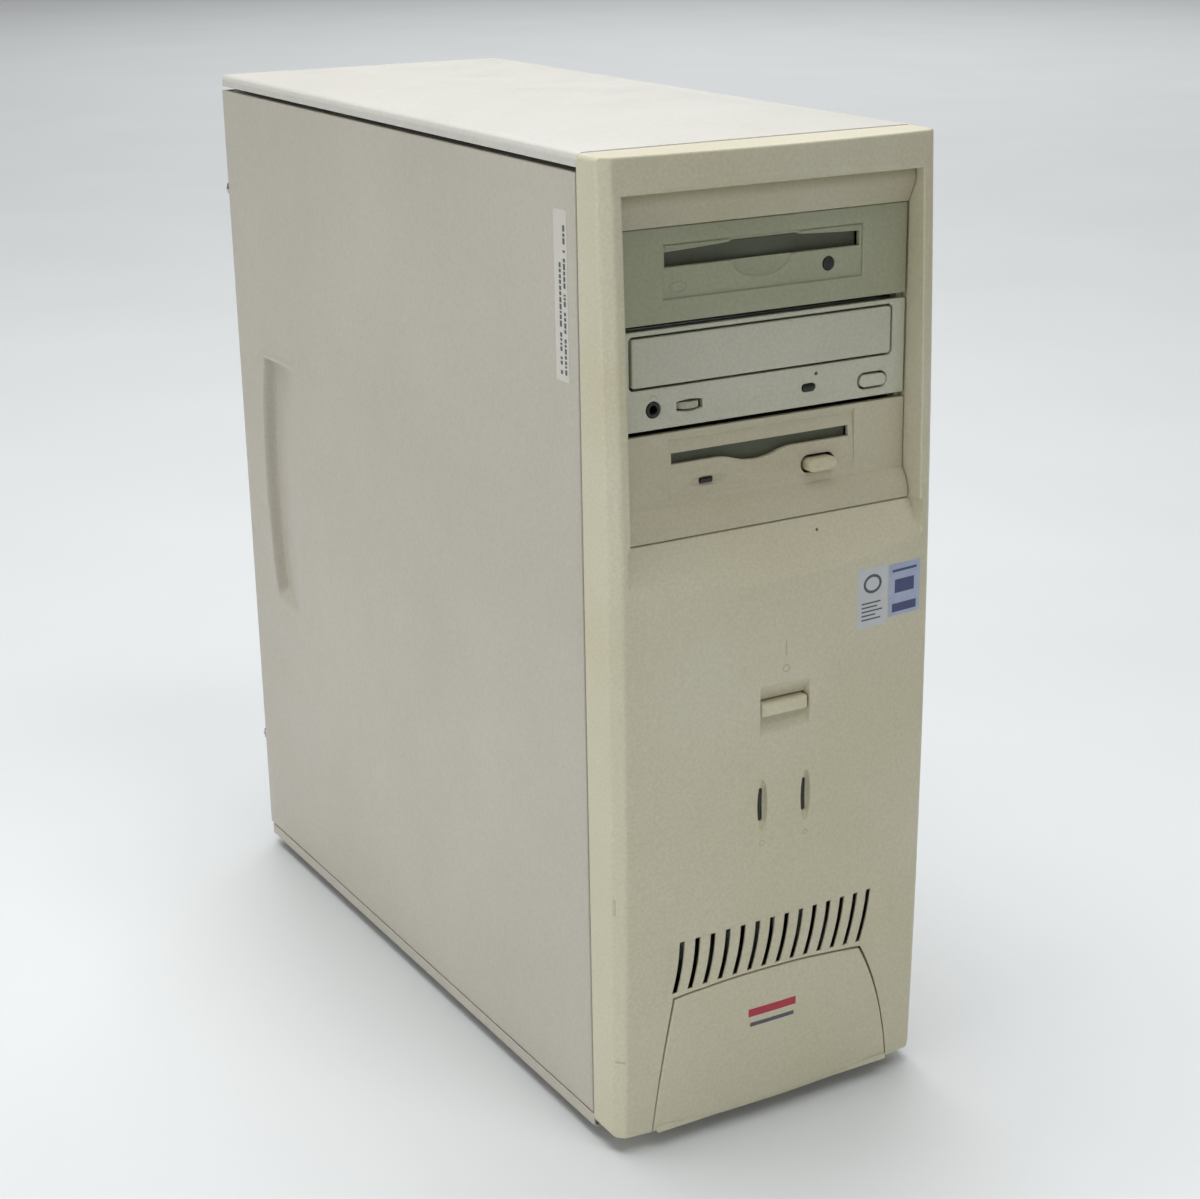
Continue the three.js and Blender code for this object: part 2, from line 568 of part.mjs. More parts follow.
function opticalDrive() {
  const bottom = OPTICAL_BOTTOM;
  const top = bottom + DRIVE_HEIGHT;
  const caseBottom = bottom + 0.6;
  const caseTop = top - 0.6;
  addPiece('optical_drive_case', cut(
    box(-73, 73, -0.8, 186, caseBottom, caseTop),
    box(-72, 72, -2, 185, caseBottom + 1, caseTop - 1),
  ), 'zincSteel');

  const face = cut(
    join(
      box(-DRIVE_HALF, DRIVE_HALF, DRIVE_FACE, DRIVE_FACE + 3, bottom, top),
      box(-71.2, 71.2, DRIVE_FACE + 2, -1.2, bottom + 0.8, top - 0.8),
    ),
    box(-69.4, 69.4, DRIVE_FACE + 2.6, 0, bottom + 2.6, top - 2.6),
  );
  const trayOpening = prism('y', roundedRect(-TRAY.half - 0.5, TRAY.half + 0.5, TRAY.bottom - 0.5,
    TRAY.top + 0.5, 1.5), -20, 0, 3);
  const wheelSlot = new THREE.Shape();
  wheelSlot.moveTo(WHEEL.x - 6.4, WHEEL.z - 1.9);
  wheelSlot.lineTo(WHEEL.x - 6.4, WHEEL.z + 1.9);
  wheelSlot.quadraticCurveTo(WHEEL.x, WHEEL.z + 3.1, WHEEL.x + 6.4, WHEEL.z + 1.9);
  wheelSlot.lineTo(WHEEL.x + 6.4, WHEEL.z - 1.9);
  wheelSlot.quadraticCurveTo(WHEEL.x, WHEEL.z - 3.1, WHEEL.x - 6.4, WHEEL.z - 1.9);
  addPiece('optical_drive_fascia', cut(face, trayOpening,
    prism('y', wheelSlot, -20, -5),
    bar('y', 3.7, -55.5, 343, -20, -5, 20),
    box(19.4, 26.4, -20, -5, 341, 344.2),
    bar('y', 0.7, 26.9, 348.3, -20, -5, 8),
    prism('y', roundedRect(49.4, 64.2, 338.5, 344.9, 3.1), -20, -5, 4),
  ), 'opticalPlastic');

  const disc = { x: 0, y: 74, radius: 61 };
  const plate = join(
    prism('y', roundedRect(-TRAY.half, TRAY.half, TRAY.bottom, TRAY.top, 1.2), DRIVE_FACE - 0.2, -7.6, 3),
    box(-64.4, 64.4, -8, 152, 356, 362),
    box(-64.4, -58, 150, 182, 356, 362),
    box(58, 64.4, 150, 182, 356, 362),
  );
  addPiece('disc_tray', cut(plate,
    bar('z', disc.radius, disc.x, disc.y, 359, 365, 48),
    box(-16, 16, 60, 160, 354, 364),
  ), 'opticalPlastic');

  addPiece('optical_eject_button', join(
    prism('y', roundedRect(49.9, 63.7, 339, 344.4, 2.6), DRIVE_FACE - 1.2, -8.2, 4),
    box(52, 61.6, -8.5, -3, 340, 343.4),
  ), 'opticalPlastic');
  addPiece('volume_wheel', join(
    bar('z', WHEEL.radius, WHEEL.x, DRIVE_FACE - 1.1 + WHEEL.radius, WHEEL.z - WHEEL.half, WHEEL.z + WHEEL.half, 24),
    bar('z', 1.2, WHEEL.x, DRIVE_FACE - 1.1 + WHEEL.radius, WHEEL.z - 3.4, WHEEL.z + 3.4, 10),
  ), 'blackPlastic');
  addPiece('headphone_jack', cut(
    bar('y', 3.3, -55.5, 343, DRIVE_FACE - 0.1, -1.5, 20),
    bar('y', 1.8, -55.5, 343, -20, -3, 12),
  ), 'blackPlastic');
  addPiece('optical_drive_light', box(19.7, 26.1, DRIVE_FACE - 0.2, -7, 341.3, 343.9), 'lampPlastic');
}

// ---- cartridge drive ----
const CARTRIDGE_SLOT = { half: 49.2, bottom: 401.6, top: 408 };

function cartridgeDrive() {
  const bottom = CARTRIDGE_BOTTOM;
  const top = bottom + DRIVE_HEIGHT;
  addPiece('cartridge_drive_case', cut(
    box(-73, 73, -0.8, 150, bottom + 0.6, top - 0.6),
    box(-72, 72, -2, 149, bottom + 1.6, top - 1.6),
  ), 'zincSteel');

  const face = cut(
    join(
      box(-DRIVE_HALF, DRIVE_HALF, DRIVE_FACE, DRIVE_FACE + 3, bottom, top - 2.6),
      box(-71.2, 71.2, DRIVE_FACE + 2, -1.2, bottom + 0.8, top - 3.4),
    ),
    box(-69.4, 69.4, DRIVE_FACE + 3.4, 0, bottom + 2.6, top - 5),
  );
  const window = box(-50.4, 50.4, -20, DRIVE_FACE + 1.2, 388.5, 411.4);
  const slot = prism('y', [
    [-CARTRIDGE_SLOT.half, CARTRIDGE_SLOT.bottom], [CARTRIDGE_SLOT.half, CARTRIDGE_SLOT.bottom],
    [CARTRIDGE_SLOT.half, CARTRIDGE_SLOT.top], [18, 409.4], [-18, 409.4], [-CARTRIDGE_SLOT.half, CARTRIDGE_SLOT.top],
  ], -20, 0);
  const thumb = new THREE.Shape();
  thumb.absellipse(-1.5, 401.8, 15, 8.4, Math.PI, Math.PI * 2);
  addPiece('cartridge_drive_fascia', cut(face, window, slot,
    prism('y', thumb, -20, DRIVE_FACE + 2.4, 10),
    bar('y', 3.1, 33, 395.4, -20, -5, 20),
  ), 'cartridgePlastic');

  const hinge = CARTRIDGE_SLOT.top + 2;
  addPiece('cartridge_slot_door', join(
    box(-CARTRIDGE_SLOT.half + 0.5, CARTRIDGE_SLOT.half - 0.5, DRIVE_FACE + 4.1, DRIVE_FACE + 5.1, 400.4, hinge),
    bar('x', 0.9, DRIVE_FACE + 4.6, hinge, -CARTRIDGE_SLOT.half - 2, CARTRIDGE_SLOT.half + 2, 10),
  ), 'darkDoor');
  addPiece('cartridge_eject_button', join(
    bar('y', 2.8, 33, 395.4, DRIVE_FACE + 0.6, -6.4, 20),
    bar('y', 1.5, 33, 395.4, -6.6, -2, 10),
  ), 'blackPlastic');
}

// ---- power supply ----
function powerSupply() {
  const { left, right, front, back, bottom, top } = PSU;
  const wall = 1;
  const rearFace = back - wall;
  const vents = [];
  for (let i = 0; i < 8; i += 1) {
    vents.push(box(left + 20 + i * 14, left + 27 + i * 14, front - 1, front + 3, bottom + 24, top - 14));
  }
  addPiece('power_supply_case', cut(
    box(left, right, front, back, bottom, top),
    box(left + wall, right - wall, front + wall, rearFace, bottom + wall, top - wall),
    bar('y', PSU_FAN.radius, PSU_FAN.x, PSU_FAN.z, rearFace - 2, back + 1, 32),
    box(INLET.x - 13.9, INLET.x + 13.9, rearFace - 2, back + 1, INLET.z - 10.4, INLET.z + 10.4),
    box(SELECTOR.x - 9.4, SELECTOR.x + 9.4, rearFace - 2, back + 1, SELECTOR.z - 5, SELECTOR.z + 5),
    ...vents,
  ), 'zincSteel');

  const hubRadius = 16;
  const bladeReach = PSU_FAN.radius - 2;
  const fanFront = back - 22;
  const fanBack = back - 5;
  let rotor = bar('y', hubRadius, PSU_FAN.x, PSU_FAN.z, fanFront, fanBack, 20);
  const blades = 7;
  for (let i = 0; i < blades; i += 1) {
    const blade = new THREE.BoxGeometry(bladeReach - hubRadius + 3, 1.4, 17);
    blade.rotateX(0.7);
    blade.translate((bladeReach + hubRadius - 3) / 2, 0, 0);
    blade.rotateY(i / blades * Math.PI * 2);
    blade.translate(PSU_FAN.x, (fanFront + fanBack) / 2, PSU_FAN.z);
    rotor = join(rotor, toSolid(blade));
  }
  addPiece('power_supply_fan', rotor, 'blackPlastic');

  const guardBack = back + 1.6;
  const guardFront = back + GAP;
  let guard = cut(
    bar('y', 5, PSU_FAN.x, PSU_FAN.z, guardFront, guardBack, 16),
    bar('y', 3.4, PSU_FAN.x, PSU_FAN.z, guardFront - 1, guardBack + 1, 12),
  );
  for (const radius of [14, 23, 32]) {
    guard = join(guard, cut(
      bar('y', radius + 0.8, PSU_FAN.x, PSU_FAN.z, guardFront, guardBack, 24),
      bar('y', radius - 0.8, PSU_FAN.x, PSU_FAN.z, guardFront - 1, guardBack + 1, 24),
    ));
  }
  for (let i = 0; i < 4; i += 1) {
    const spoke = new THREE.BoxGeometry(42, guardBack - guardFront, 1.6);
    spoke.translate(25, 0, 0);
    spoke.rotateY(Math.PI / 4 + i * Math.PI / 2);
    spoke.translate(PSU_FAN.x, (guardBack + guardFront) / 2, PSU_FAN.z);
    guard = join(guard, toSolid(spoke));
  }
  addPiece('fan_guard', guard, 'zincSteel');

  let inlet = cut(
    box(INLET.x - 13.5, INLET.x + 13.5, back - 18, back + 2.4, INLET.z - 10, INLET.z + 10),
    box(INLET.x - 11.8, INLET.x + 11.8, back - 14, back + 3, INLET.z - 8, INLET.z + 8),
  );
  for (const [dx, dz] of [[-7, -1.5], [0, 2.5], [7, -1.5]]) {
    inlet = join(inlet, box(INLET.x + dx - 1, INLET.x + dx + 1, back - 15, back - 2, INLET.z + dz - 2, INLET.z + dz + 2));
  }
  addPiece('mains_inlet', inlet, 'blackPlastic');
  addPiece('voltage_selector', join(
    box(SELECTOR.x - 8.6, SELECTOR.x + 2.6, back - 3, back - 1.4, SELECTOR.z - 4.2, SELECTOR.z + 4.2),
    box(SELECTOR.x - 4.4, SELECTOR.x - 1.6, back - 2, back + 0.6, SELECTOR.z - 3.4, SELECTOR.z + 3.4),
  ), 'redPlastic');
}

// ---- main board and what plugs into it ----
function mainBoard() {
  const { face, thick, front, back, bottom, top } = BOARD;
  addPiece('main_board', box(face, face + thick, front, back, bottom, top), 'circuitBoard');
  const seat = face - GAP;

  addPiece('processor_slot', cut(
    box(63, seat, 222, 231, 190, 330),
    box(60, 70, 225.2, 227.8, 194, 326),
  ), 'blackPlastic');
  addPiece('processor_cartridge', join(
    box(4, 61.5, 219, 235, 191, 329),
    box(61, 69.6, 225.7, 227.3, 196, 324),
  ), 'blackPlastic');
  let heatsink = box(6, 60, 235.3, 239.3, 193, 327);
  const fins = 9;
  for (let i = 0; i < fins; i += 1) {
    const x = 6 + i * (52 / (fins - 1));
    heatsink = join(heatsink, box(x, x + 2, 239, 262, 193, 327));
  }
  addPiece('processor_heatsink', heatsink, 'heatsinkAluminium');

  [176, 188].forEach((y, index) => {
    addPiece(`memory_module_${index + 1}`, box(40, seat - 5.5, y, y + 3.6, 106, 239), 'circuitBoard');
  });

  for (let i = 0; i < SLOT_COUNT; i += 1) {
    const z = SLOT_FIRST_Z + i * SLOT_PITCH;
    addPiece(`expansion_slot_${i + 1}`, cut(
      box(seat - 11.5, seat, 262, 347, z - 4.2, z + 4.2),
      box(seat - 13, seat - 4, 266, 343, z - 1.2, z + 1.2),
    ), i === SLOT_COUNT - 1 ? 'brownPlastic' : 'slotPlastic');
  }
  const cardZ = SLOT_FIRST_Z + (SLOT_COUNT - 1) * SLOT_PITCH;
  addPiece('graphics_card', join(
    box(-20, seat - 12, 212, 384.4, cardZ - 0.8, cardZ + 0.8),
    box(seat - 13, seat - 4.4, 268, 341, cardZ - 0.8, cardZ + 0.8),
  ), 'circuitBoard');

  for (let i = 0; i < SLOT_COUNT; i += 1) {
    const z = SLOT_FIRST_Z + i * SLOT_PITCH;
    const cover = join(
      box(-44, 66, 387, 387.9, z - 9.2, z + 9.2),
      box(-44, -43.1, 377, 387.9, z - 9.2, z + 9.2),
    );
    const isCard = i === SLOT_COUNT - 1;
    const socket = box(6, 37, 380, 390, z - 5.4, z + 5.4);
    addPiece(isCard ? 'graphics_card_bracket' : `slot_cover_${i + 1}`, isCard ? cut(cover, socket) : cover, 'zincSteel');
  }

  const ports = { front: 368, back: 392 };
  const block = join(
    box(seat - 8, seat, ports.front, 386, 192, 332),
    box(48, 73, ports.front, ports.back - 1, 302, 331),
    box(54, 73, ports.front, ports.back - 1, 278, 298),
    box(38, seat, ports.front, 386, 214, 275),
    box(57, 73, 380, ports.back, 216, 273),
    box(38, 53, 380, ports.back, 216, 273),
    box(58, 73, ports.front, ports.back - 1, 194, 210),
  );
  addPiece('rear_port_block', cut(block,
    bar('y', 5, 62, 309.5, 378, 400, 16),
    bar('y', 5, 62, 323.5, 378, 400, 16),
    box(58, 71, 378, 400, 281, 287),
    box(58, 71, 378, 400, 290, 296),
  ), 'blackPlastic');
}

// ---- leads inside the case ----
function insideLeads() {
  // A flat ribbon 50 mm wide: down from the optical drive, forward fold, then across to the board.
  const left = 14;
  const ribbon = join(
    prism('x', [
      [187, 352], [196, 350], [203, 343], [205.5, 330], [205.5, 160], [206.6, 160], [206.6, 331], [204, 344],
      [197, 351.2], [187, 353.2],
    ], left, left + 50),
    box(left, 66, 204.5, 205.6, 150, 200),
  );
  addPiece('drive_ribbon_cable', ribbon, 'greyCable');
  addPiece('power_harness', tube([
    [-40, 248, 364], [-41, 240, 363], [-44, 224, 352], [-42, 216, 330], [-30, 211, 300], [-8, 210, 272],
    [14, 211, 258], [40, 212, 250], [56, 214, 252],
  ], 4, 8, 30), 'wireInsulation');
}

function speakerAndFeet() {
  addPiece('chassis_speaker', join(
    bar('y', 28, 20, 150, 4, 8, 28),
    bar('y', 20, 20, 150, 7.9, 16, 24),
    bar('y', 12, 20, 150, 15.9, 24, 20),
  ), 'blackPlastic');
  const feet = [
    ['foot_front_left', -66, 24], ['foot_front_right', 66, 24],
    ['foot_rear_left', -66, 366], ['foot_rear_right', 66, 366],
  ];
  for (const [name, x, y] of feet) {
    addPiece(name, bar('z', 8, x, y, 0, FOOT_HEIGHT - GAP, 20), 'footRubber');
  }
}

baseAndCover();
rearPanel();
sideWalls();
accessPanel();
thumbscrews();
frontPlate();
driveCage();
hardDisk();
frontBezel();
frontControls();
baySurround();
opticalDrive();
cartridgeDrive();
powerSupply();
mainBoard();
insideLeads();
speakerAndFeet();

export default object;
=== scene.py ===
# Upright desktop computer with a bowed plastic front, three front drives and its inside parts.
# Sizes are in millimetres from the joint between bezel and steel case; at() places them in metres.
import math
import random
import bpy
from mathutils import Matrix, Vector


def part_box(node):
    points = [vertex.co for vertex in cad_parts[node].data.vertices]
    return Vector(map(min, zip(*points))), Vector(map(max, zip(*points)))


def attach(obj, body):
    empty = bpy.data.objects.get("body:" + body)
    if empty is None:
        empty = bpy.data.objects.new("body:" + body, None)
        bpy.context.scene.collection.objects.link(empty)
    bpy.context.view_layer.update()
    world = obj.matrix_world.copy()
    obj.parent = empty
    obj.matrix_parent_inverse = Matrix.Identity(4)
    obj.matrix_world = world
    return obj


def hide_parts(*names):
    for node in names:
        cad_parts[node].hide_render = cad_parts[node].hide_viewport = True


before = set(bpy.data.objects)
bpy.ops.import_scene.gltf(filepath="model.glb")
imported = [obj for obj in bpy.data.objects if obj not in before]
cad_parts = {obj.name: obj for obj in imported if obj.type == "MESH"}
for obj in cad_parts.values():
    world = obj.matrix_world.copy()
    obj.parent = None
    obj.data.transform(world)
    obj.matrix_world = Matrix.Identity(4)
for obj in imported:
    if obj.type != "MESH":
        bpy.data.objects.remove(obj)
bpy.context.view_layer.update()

random.seed(11)
mm = 0.001
coverFrontGap = 0.3
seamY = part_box("top_cover")[0].y / mm - coverFrontGap


def at(x, y, z):
    return Vector((x, y + seamY, z)) * mm


# Hand tools: each leaves its piece at the origin, with its place in its mesh.
def deselectAll():
    bpy.ops.object.select_all(action="DESELECT")


def only(piece):
    deselectAll()
    piece.select_set(True)
    bpy.context.view_layer.objects.active = piece
    return piece


def settle(piece):
    only(piece)
    bpy.ops.object.transform_apply(location=True, rotation=True, scale=True)
    return piece


def newObject(name, data):
    piece = bpy.data.objects.new(name, data)
    bpy.context.collection.objects.link(piece)
    return piece


def openMesh(piece, action="SELECT"):   # edit mode, with all or none of the mesh selected
    only(piece)
    bpy.ops.object.mode_set(mode="EDIT")
    bpy.ops.mesh.select_all(action=action)


def closeMesh():
    bpy.ops.object.mode_set(mode="OBJECT")


def applyModifiers(piece):
    only(piece)
    for modifier in list(piece.modifiers):
        bpy.ops.object.modifier_apply(modifier=modifier.name)
    return piece


def mend(piece, distance=0.002):
    openMesh(piece)
    bpy.ops.mesh.remove_doubles(threshold=distance * mm)
    bpy.ops.mesh.normals_make_consistent(inside=False)
    closeMesh()
    return piece


def block(name, low, high):
    bpy.ops.mesh.primitive_cube_add(size=1, location=(at(*low) + at(*high)) / 2)
    piece = bpy.context.object
    piece.name = name
    piece.scale = [(b - a) * mm for a, b in zip(low, high)]
    return settle(piece)


quarter = math.pi / 2
turns = {"x": (0, quarter, 0), "y": (quarter, 0, 0), "z": (0, 0, 0)}


def rod(name, axis, radius, centre, length, sides=32):
    bpy.ops.mesh.primitive_cylinder_add(vertices=sides, radius=radius * mm, depth=length * mm,
                                        location=at(*centre), rotation=turns[axis])
    piece = bpy.context.object
    piece.name = name
    return settle(piece)


def wireRing(radius, wire, centre, rotation, around=24, section=8):
    bpy.ops.mesh.primitive_torus_add(major_radius=radius * mm, minor_radius=wire * mm, major_segments=around,
                                     minor_segments=section, location=at(*centre), rotation=rotation)
    return settle(bpy.context.object)


def ball(name, radii, centre):
    bpy.ops.mesh.primitive_uv_sphere_add(segments=48, ring_count=24, radius=1, location=at(*centre))
    piece = bpy.context.object
    piece.name = name
    piece.scale = [radius * mm for radius in radii]
    return settle(piece)


# A flat outline with holes, given a thickness and rounded edges.
# "xz" is a plate that faces the front, "yz" one that faces the side, "xy" one that lies flat.
def cutout(name, outlines, plane, low, high, edge=0.3, steps=2):
    curve = bpy.data.curves.new(name, "CURVE")
    curve.dimensions = "2D"
    curve.fill_mode = "BOTH"
    curve.extrude = ((high - low) / 2 - edge) * mm
    curve.bevel_depth = edge * mm
    curve.bevel_resolution = steps
    curve.offset = -edge * mm
    for outline in outlines:
        spline = curve.splines.new("POLY")
        spline.points.add(len(outline) - 1)
        spline.use_cyclic_u = True
        for point, (u, v) in zip(spline.points, outline):
            point.co = (u * mm, v * mm, 0, 1)
    only(newObject(name, curve))
    bpy.ops.object.convert(target="MESH")
    piece = bpy.context.object
    middle = (low + high) / 2
    if plane == "xz":
        basis = Matrix(((1, 0, 0), (0, 0, -1), (0, 1, 0)))
        place = at(0, middle, 0)
    elif plane == "yz":
        basis = Matrix(((0, 0, 1), (1, 0, 0), (0, 1, 0)))
        place = at(middle, 0, 0)
    else:
        basis = Matrix.Identity(3)
        place = at(0, 0, middle)
    piece.matrix_world = Matrix.Translation(place) @ basis.to_4x4()
    settle(piece)
    return smooth(mend(piece), 40)


def smooth(piece, degrees=35):
    only(piece)
    bpy.ops.object.shade_smooth_by_angle(angle=math.radians(degrees))
    return piece


def rectangle(x0, x1, z0, z1, radius=0.0, steps=5):
    if radius <= 0:
        return [(x0, z0), (x1, z0), (x1, z1), (x0, z1)]
    points = []
    corners = [(x1 - radius, z0 + radius, -90), (x1 - radius, z1 - radius, 0),
               (x0 + radius, z1 - radius, 90), (x0 + radius, z0 + radius, 180)]
    for cx, cz, start in corners:
        for step in range(steps + 1):
            angle = math.radians(start + 90 * step / steps)
            points.append((cx + radius * math.cos(angle), cz + radius * math.sin(angle)))
    return points


def circle(cx, cz, radius, sides=28):
    return [(cx + radius * math.cos(2 * math.pi * i / sides), cz + radius * math.sin(2 * math.pi * i / sides))
            for i in range(sides)]


def bend(start, middle, end, steps=10):
    points = []
    for i in range(steps + 1):
        t = i / steps
        points.append(tuple((1 - t) ** 2 * a + 2 * t * (1 - t) * b + t * t * c
                            for a, b, c in zip(start, middle, end)))
    return points


def carve(piece, cutters, operation="DIFFERENCE"):
    group = bpy.data.collections.new(piece.name + "Cutters")
    for cutter in cutters:
        group.objects.link(cutter)
    modifier = piece.modifiers.new("carve", "BOOLEAN")
    modifier.operand_type = "COLLECTION"
    modifier.collection = group
    modifier.operation = operation
    modifier.solver = "EXACT"
    modifier.use_self = False
    applyModifiers(piece)
    for cutter in cutters:
        bpy.data.objects.remove(cutter)
    bpy.data.collections.remove(group)
    return piece


def softenEdges(piece, width, steps=2, degrees=35):
    modifier = piece.modifiers.new("soften", "BEVEL")
    modifier.width = width * mm
    modifier.segments = steps
    modifier.limit_method = "ANGLE"
    modifier.angle_limit = math.radians(degrees)
    modifier.harden_normals = False
    applyModifiers(piece)
    return smooth(piece, degrees)


def joinUp(name, pieces):
    deselectAll()
    for piece in pieces:
        piece.select_set(True)
    bpy.context.view_layer.objects.active = pieces[0]
    if len(pieces) > 1:
        bpy.ops.object.join()
    joined = bpy.context.object
    joined.name = name
    return joined


def copyOf(piece, name):
    only(piece)
    bpy.ops.object.duplicate(linked=False)
    twin = bpy.context.object
    twin.name = name
    return twin


def moved(piece, x, y, z):
    piece.location = Vector((x, y, z)) * mm
    return settle(piece)


def dress(piece, material, body, replaces=()):
    piece.data.materials.clear()
    piece.data.materials.append(material)
    for face in piece.data.polygons:
        face.material_index = 0
    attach(piece, body)
    if replaces:
        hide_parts(*replaces)
    return piece


# A finer copy of a CAD piece, its flat faces made whole and its edges rounded.
flatAngle = 1.5


def refine(node, material, body="chassis", edge=0.4, degrees=30):
    name = "fine" + "".join(word.capitalize() for word in node.split("_"))
    piece = mend(newObject(name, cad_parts[node].data.copy()))
    openMesh(piece)
    bpy.ops.mesh.dissolve_limited(angle_limit=math.radians(flatAngle))
    closeMesh()
    if edge:
        softenEdges(piece, edge, 2, degrees)
    else:
        smooth(piece, degrees)
    return dress(piece, material, body, (node,))


# Finishes.
def linear(code):
    channels = [int(code[i:i + 2], 16) / 255 for i in (1, 3, 5)]
    return [c / 12.92 if c <= 0.04045 else ((c + 0.055) / 1.055) ** 2.4 for c in channels] + [1.0]


def addNode(material, kind, settings=None, links=None):
    node = material.node_tree.nodes.new(kind)
    for key, value in (settings or {}).items():
        if isinstance(key, str) and hasattr(node, key):
            setattr(node, key, value)
        else:
            node.inputs[key].default_value = value
    for key, socket in (links or {}).items():
        material.node_tree.links.new(socket, node.inputs[key])
    return node


def ramp(material, source, stops):
    node = addNode(material, "ShaderNodeValToRGB", links={"Fac": source})
    bar = node.color_ramp
    while len(bar.elements) < len(stops):
        bar.elements.new(0.5)
    for element, (place, color) in zip(bar.elements, stops):
        element.position = place
        element.color = linear(color) if isinstance(color, str) else (color, color, color, 1)
    return node.outputs["Color"]


def newMaterial(name):
    material = bpy.data.materials.new(name)
    material.use_nodes = True
    shader = material.node_tree.nodes["Principled BSDF"]
    coordinates = addNode(material, "ShaderNodeTexCoord").outputs["Object"]
    return material, shader, coordinates


def feed(material, shader, name, socket):
    material.node_tree.links.new(socket, shader.inputs[name])


# Roughness that drifts a little to either side of its middle value.
def roughen(material, shader, source, middle, below, above):
    feed(material, shader, "Roughness",
         ramp(material, source, [(0.2, middle - below), (0.8, middle + above)]))


def noise(material, coordinates, sizeMm, detail=2.0, roughness=0.5):
    return addNode(material, "ShaderNodeTexNoise",
                   {"Scale": 1 / (sizeMm * mm), "Detail": detail, "Roughness": roughness},
                   {"Vector": coordinates}).outputs["Fac"]


def mix(material, factor, first, second, blend="MIX"):
    node = addNode(material, "ShaderNodeMix", {"data_type": "RGBA", "blend_type": blend})
    for index, value in ((0, factor), (6, first), (7, second)):
        if hasattr(value, "is_output"):
            material.node_tree.links.new(value, node.inputs[index])
        else:
            node.inputs[index].default_value = linear(value) if isinstance(value, str) else value
    return node.outputs[2]


def bump(material, shader, height, depthMm, strength=1.0, under=None):
    links = {"Height": height}
    if under:
        links["Normal"] = under
    node = addNode(material, "ShaderNodeBump", {"Strength": strength, "Distance": depthMm * mm}, links)
    feed(material, shader, "Normal", node.outputs["Normal"])
    return node.outputs["Normal"]


# Injection moulded ABS: a matt spark-eroded grain, slowly yellowed in wide soft patches, faint grime.
def mouldedAbs(name, fresh, aged, grainMm=0.9, roughness=0.5, grime=0.1):
    material, shader, coordinates = newMaterial(name)
    patches = ramp(material, noise(material, coordinates, 95, 3), [(0.3, 0.0), (0.7, 1.0)])
    tone = mix(material, patches, fresh, aged)
    specks = ramp(material, noise(material, coordinates, 2.6, 4, 0.65), [(0.62, 0.0), (0.78, grime)])
    tone = mix(material, specks, tone, "#6f6a58")
    mottle = ramp(material, noise(material, coordinates, 1.4, 1), [(0.3, 0.94), (0.7, 1.04)])
    tone = mix(material, 1.0, tone, mottle, "MULTIPLY")
    feed(material, shader, "Base Color", tone)
    roughen(material, shader, noise(material, coordinates, 30, 3), roughness, 0.05, 0.08)
    shader.inputs["IOR"].default_value = 1.53
    bump(material, shader, noise(material, coordinates, grainMm, 2, 0.6), 0.03, 0.55)
    return material


# Powder coated steel: fine orange peel, pale scuffs and a little settled dust.
def powderCoat(name, color, shade, scuff="#dcd8d2", roughness=0.45, scuffs=0.35):
    material, shader, coordinates = newMaterial(name)
    patches = ramp(material, noise(material, coordinates, 140, 2), [(0.35, 0.0), (0.65, 1.0)])
    tone = mix(material, patches, color, shade)
    stretched = addNode(material, "ShaderNodeMapping", {"Scale": (1.0, 3.2, 0.8)},
                        {"Vector": coordinates}).outputs[0]
    marks = ramp(material, noise(material, stretched, 34, 7, 0.72), [(0.66, 0.0), (0.8, scuffs)])
    tone = mix(material, marks, tone, scuff)
    pebble = ramp(material, noise(material, coordinates, 1.7, 1), [(0.3, 0.955), (0.7, 1.03)])
    tone = mix(material, 1.0, tone, pebble, "MULTIPLY")
    feed(material, shader, "Base Color", tone)
    roughen(material, shader, noise(material, coordinates, 26, 3), roughness, 0.06, 0.1)
    shader.inputs["IOR"].default_value = 1.5
    bump(material, shader, noise(material, coordinates, 1.1, 2, 0.55), 0.035, 0.5)
    return material


# Hot dip galvanised sheet: zinc crystals 3 to 5 mm across, each with its own tone and gloss.
def galvanised(name, dark="#9a9ea0", light="#b4b8b9", roughness=0.42):
    material, shader, coordinates = newMaterial(name)
    crystals = addNode(material, "ShaderNodeTexVoronoi", {"Scale": 1 / (4 * mm)}, {"Vector": coordinates})
    grey = addNode(material, "ShaderNodeRGBToBW", links={"Color": crystals.outputs["Color"]}).outputs[0]
    streaks = noise(material, coordinates, 12, 5, 0.7)
    tone = mix(material, ramp(material, grey, [(0.2, 0.0), (0.8, 1.0)]), dark, light)
    tone = mix(material, ramp(material, streaks, [(0.45, 0.0), (0.75, 0.4)]), tone, "#a3a6a4")
    feed(material, shader, "Base Color", tone)
    feed(material, shader, "Roughness", ramp(material, grey, [(0, roughness - 0.05), (1, roughness + 0.08)]))
    shader.inputs["Metallic"].default_value = 1.0
    bump(material, shader, streaks, 0.02, 0.3)
    return material


# Milled, cast or turned bare metal with fine brushing along one axis.
def brushedMetal(name, dark, light, along=(1, 1, 30), roughness=0.32, lineMm=2.0):
    material, shader, coordinates = newMaterial(name)
    stretched = addNode(material, "ShaderNodeMapping", {"Scale": along}, {"Vector": coordinates}).outputs[0]
    lines = noise(material, stretched, lineMm * 8, 4, 0.7)
    feed(material, shader, "Base Color", mix(material, lines, dark, light))
    roughen(material, shader, lines, roughness, 0.08, 0.12)
    shader.inputs["Metallic"].default_value = 1.0
    bump(material, shader, lines, 0.012, 0.4)
    return material


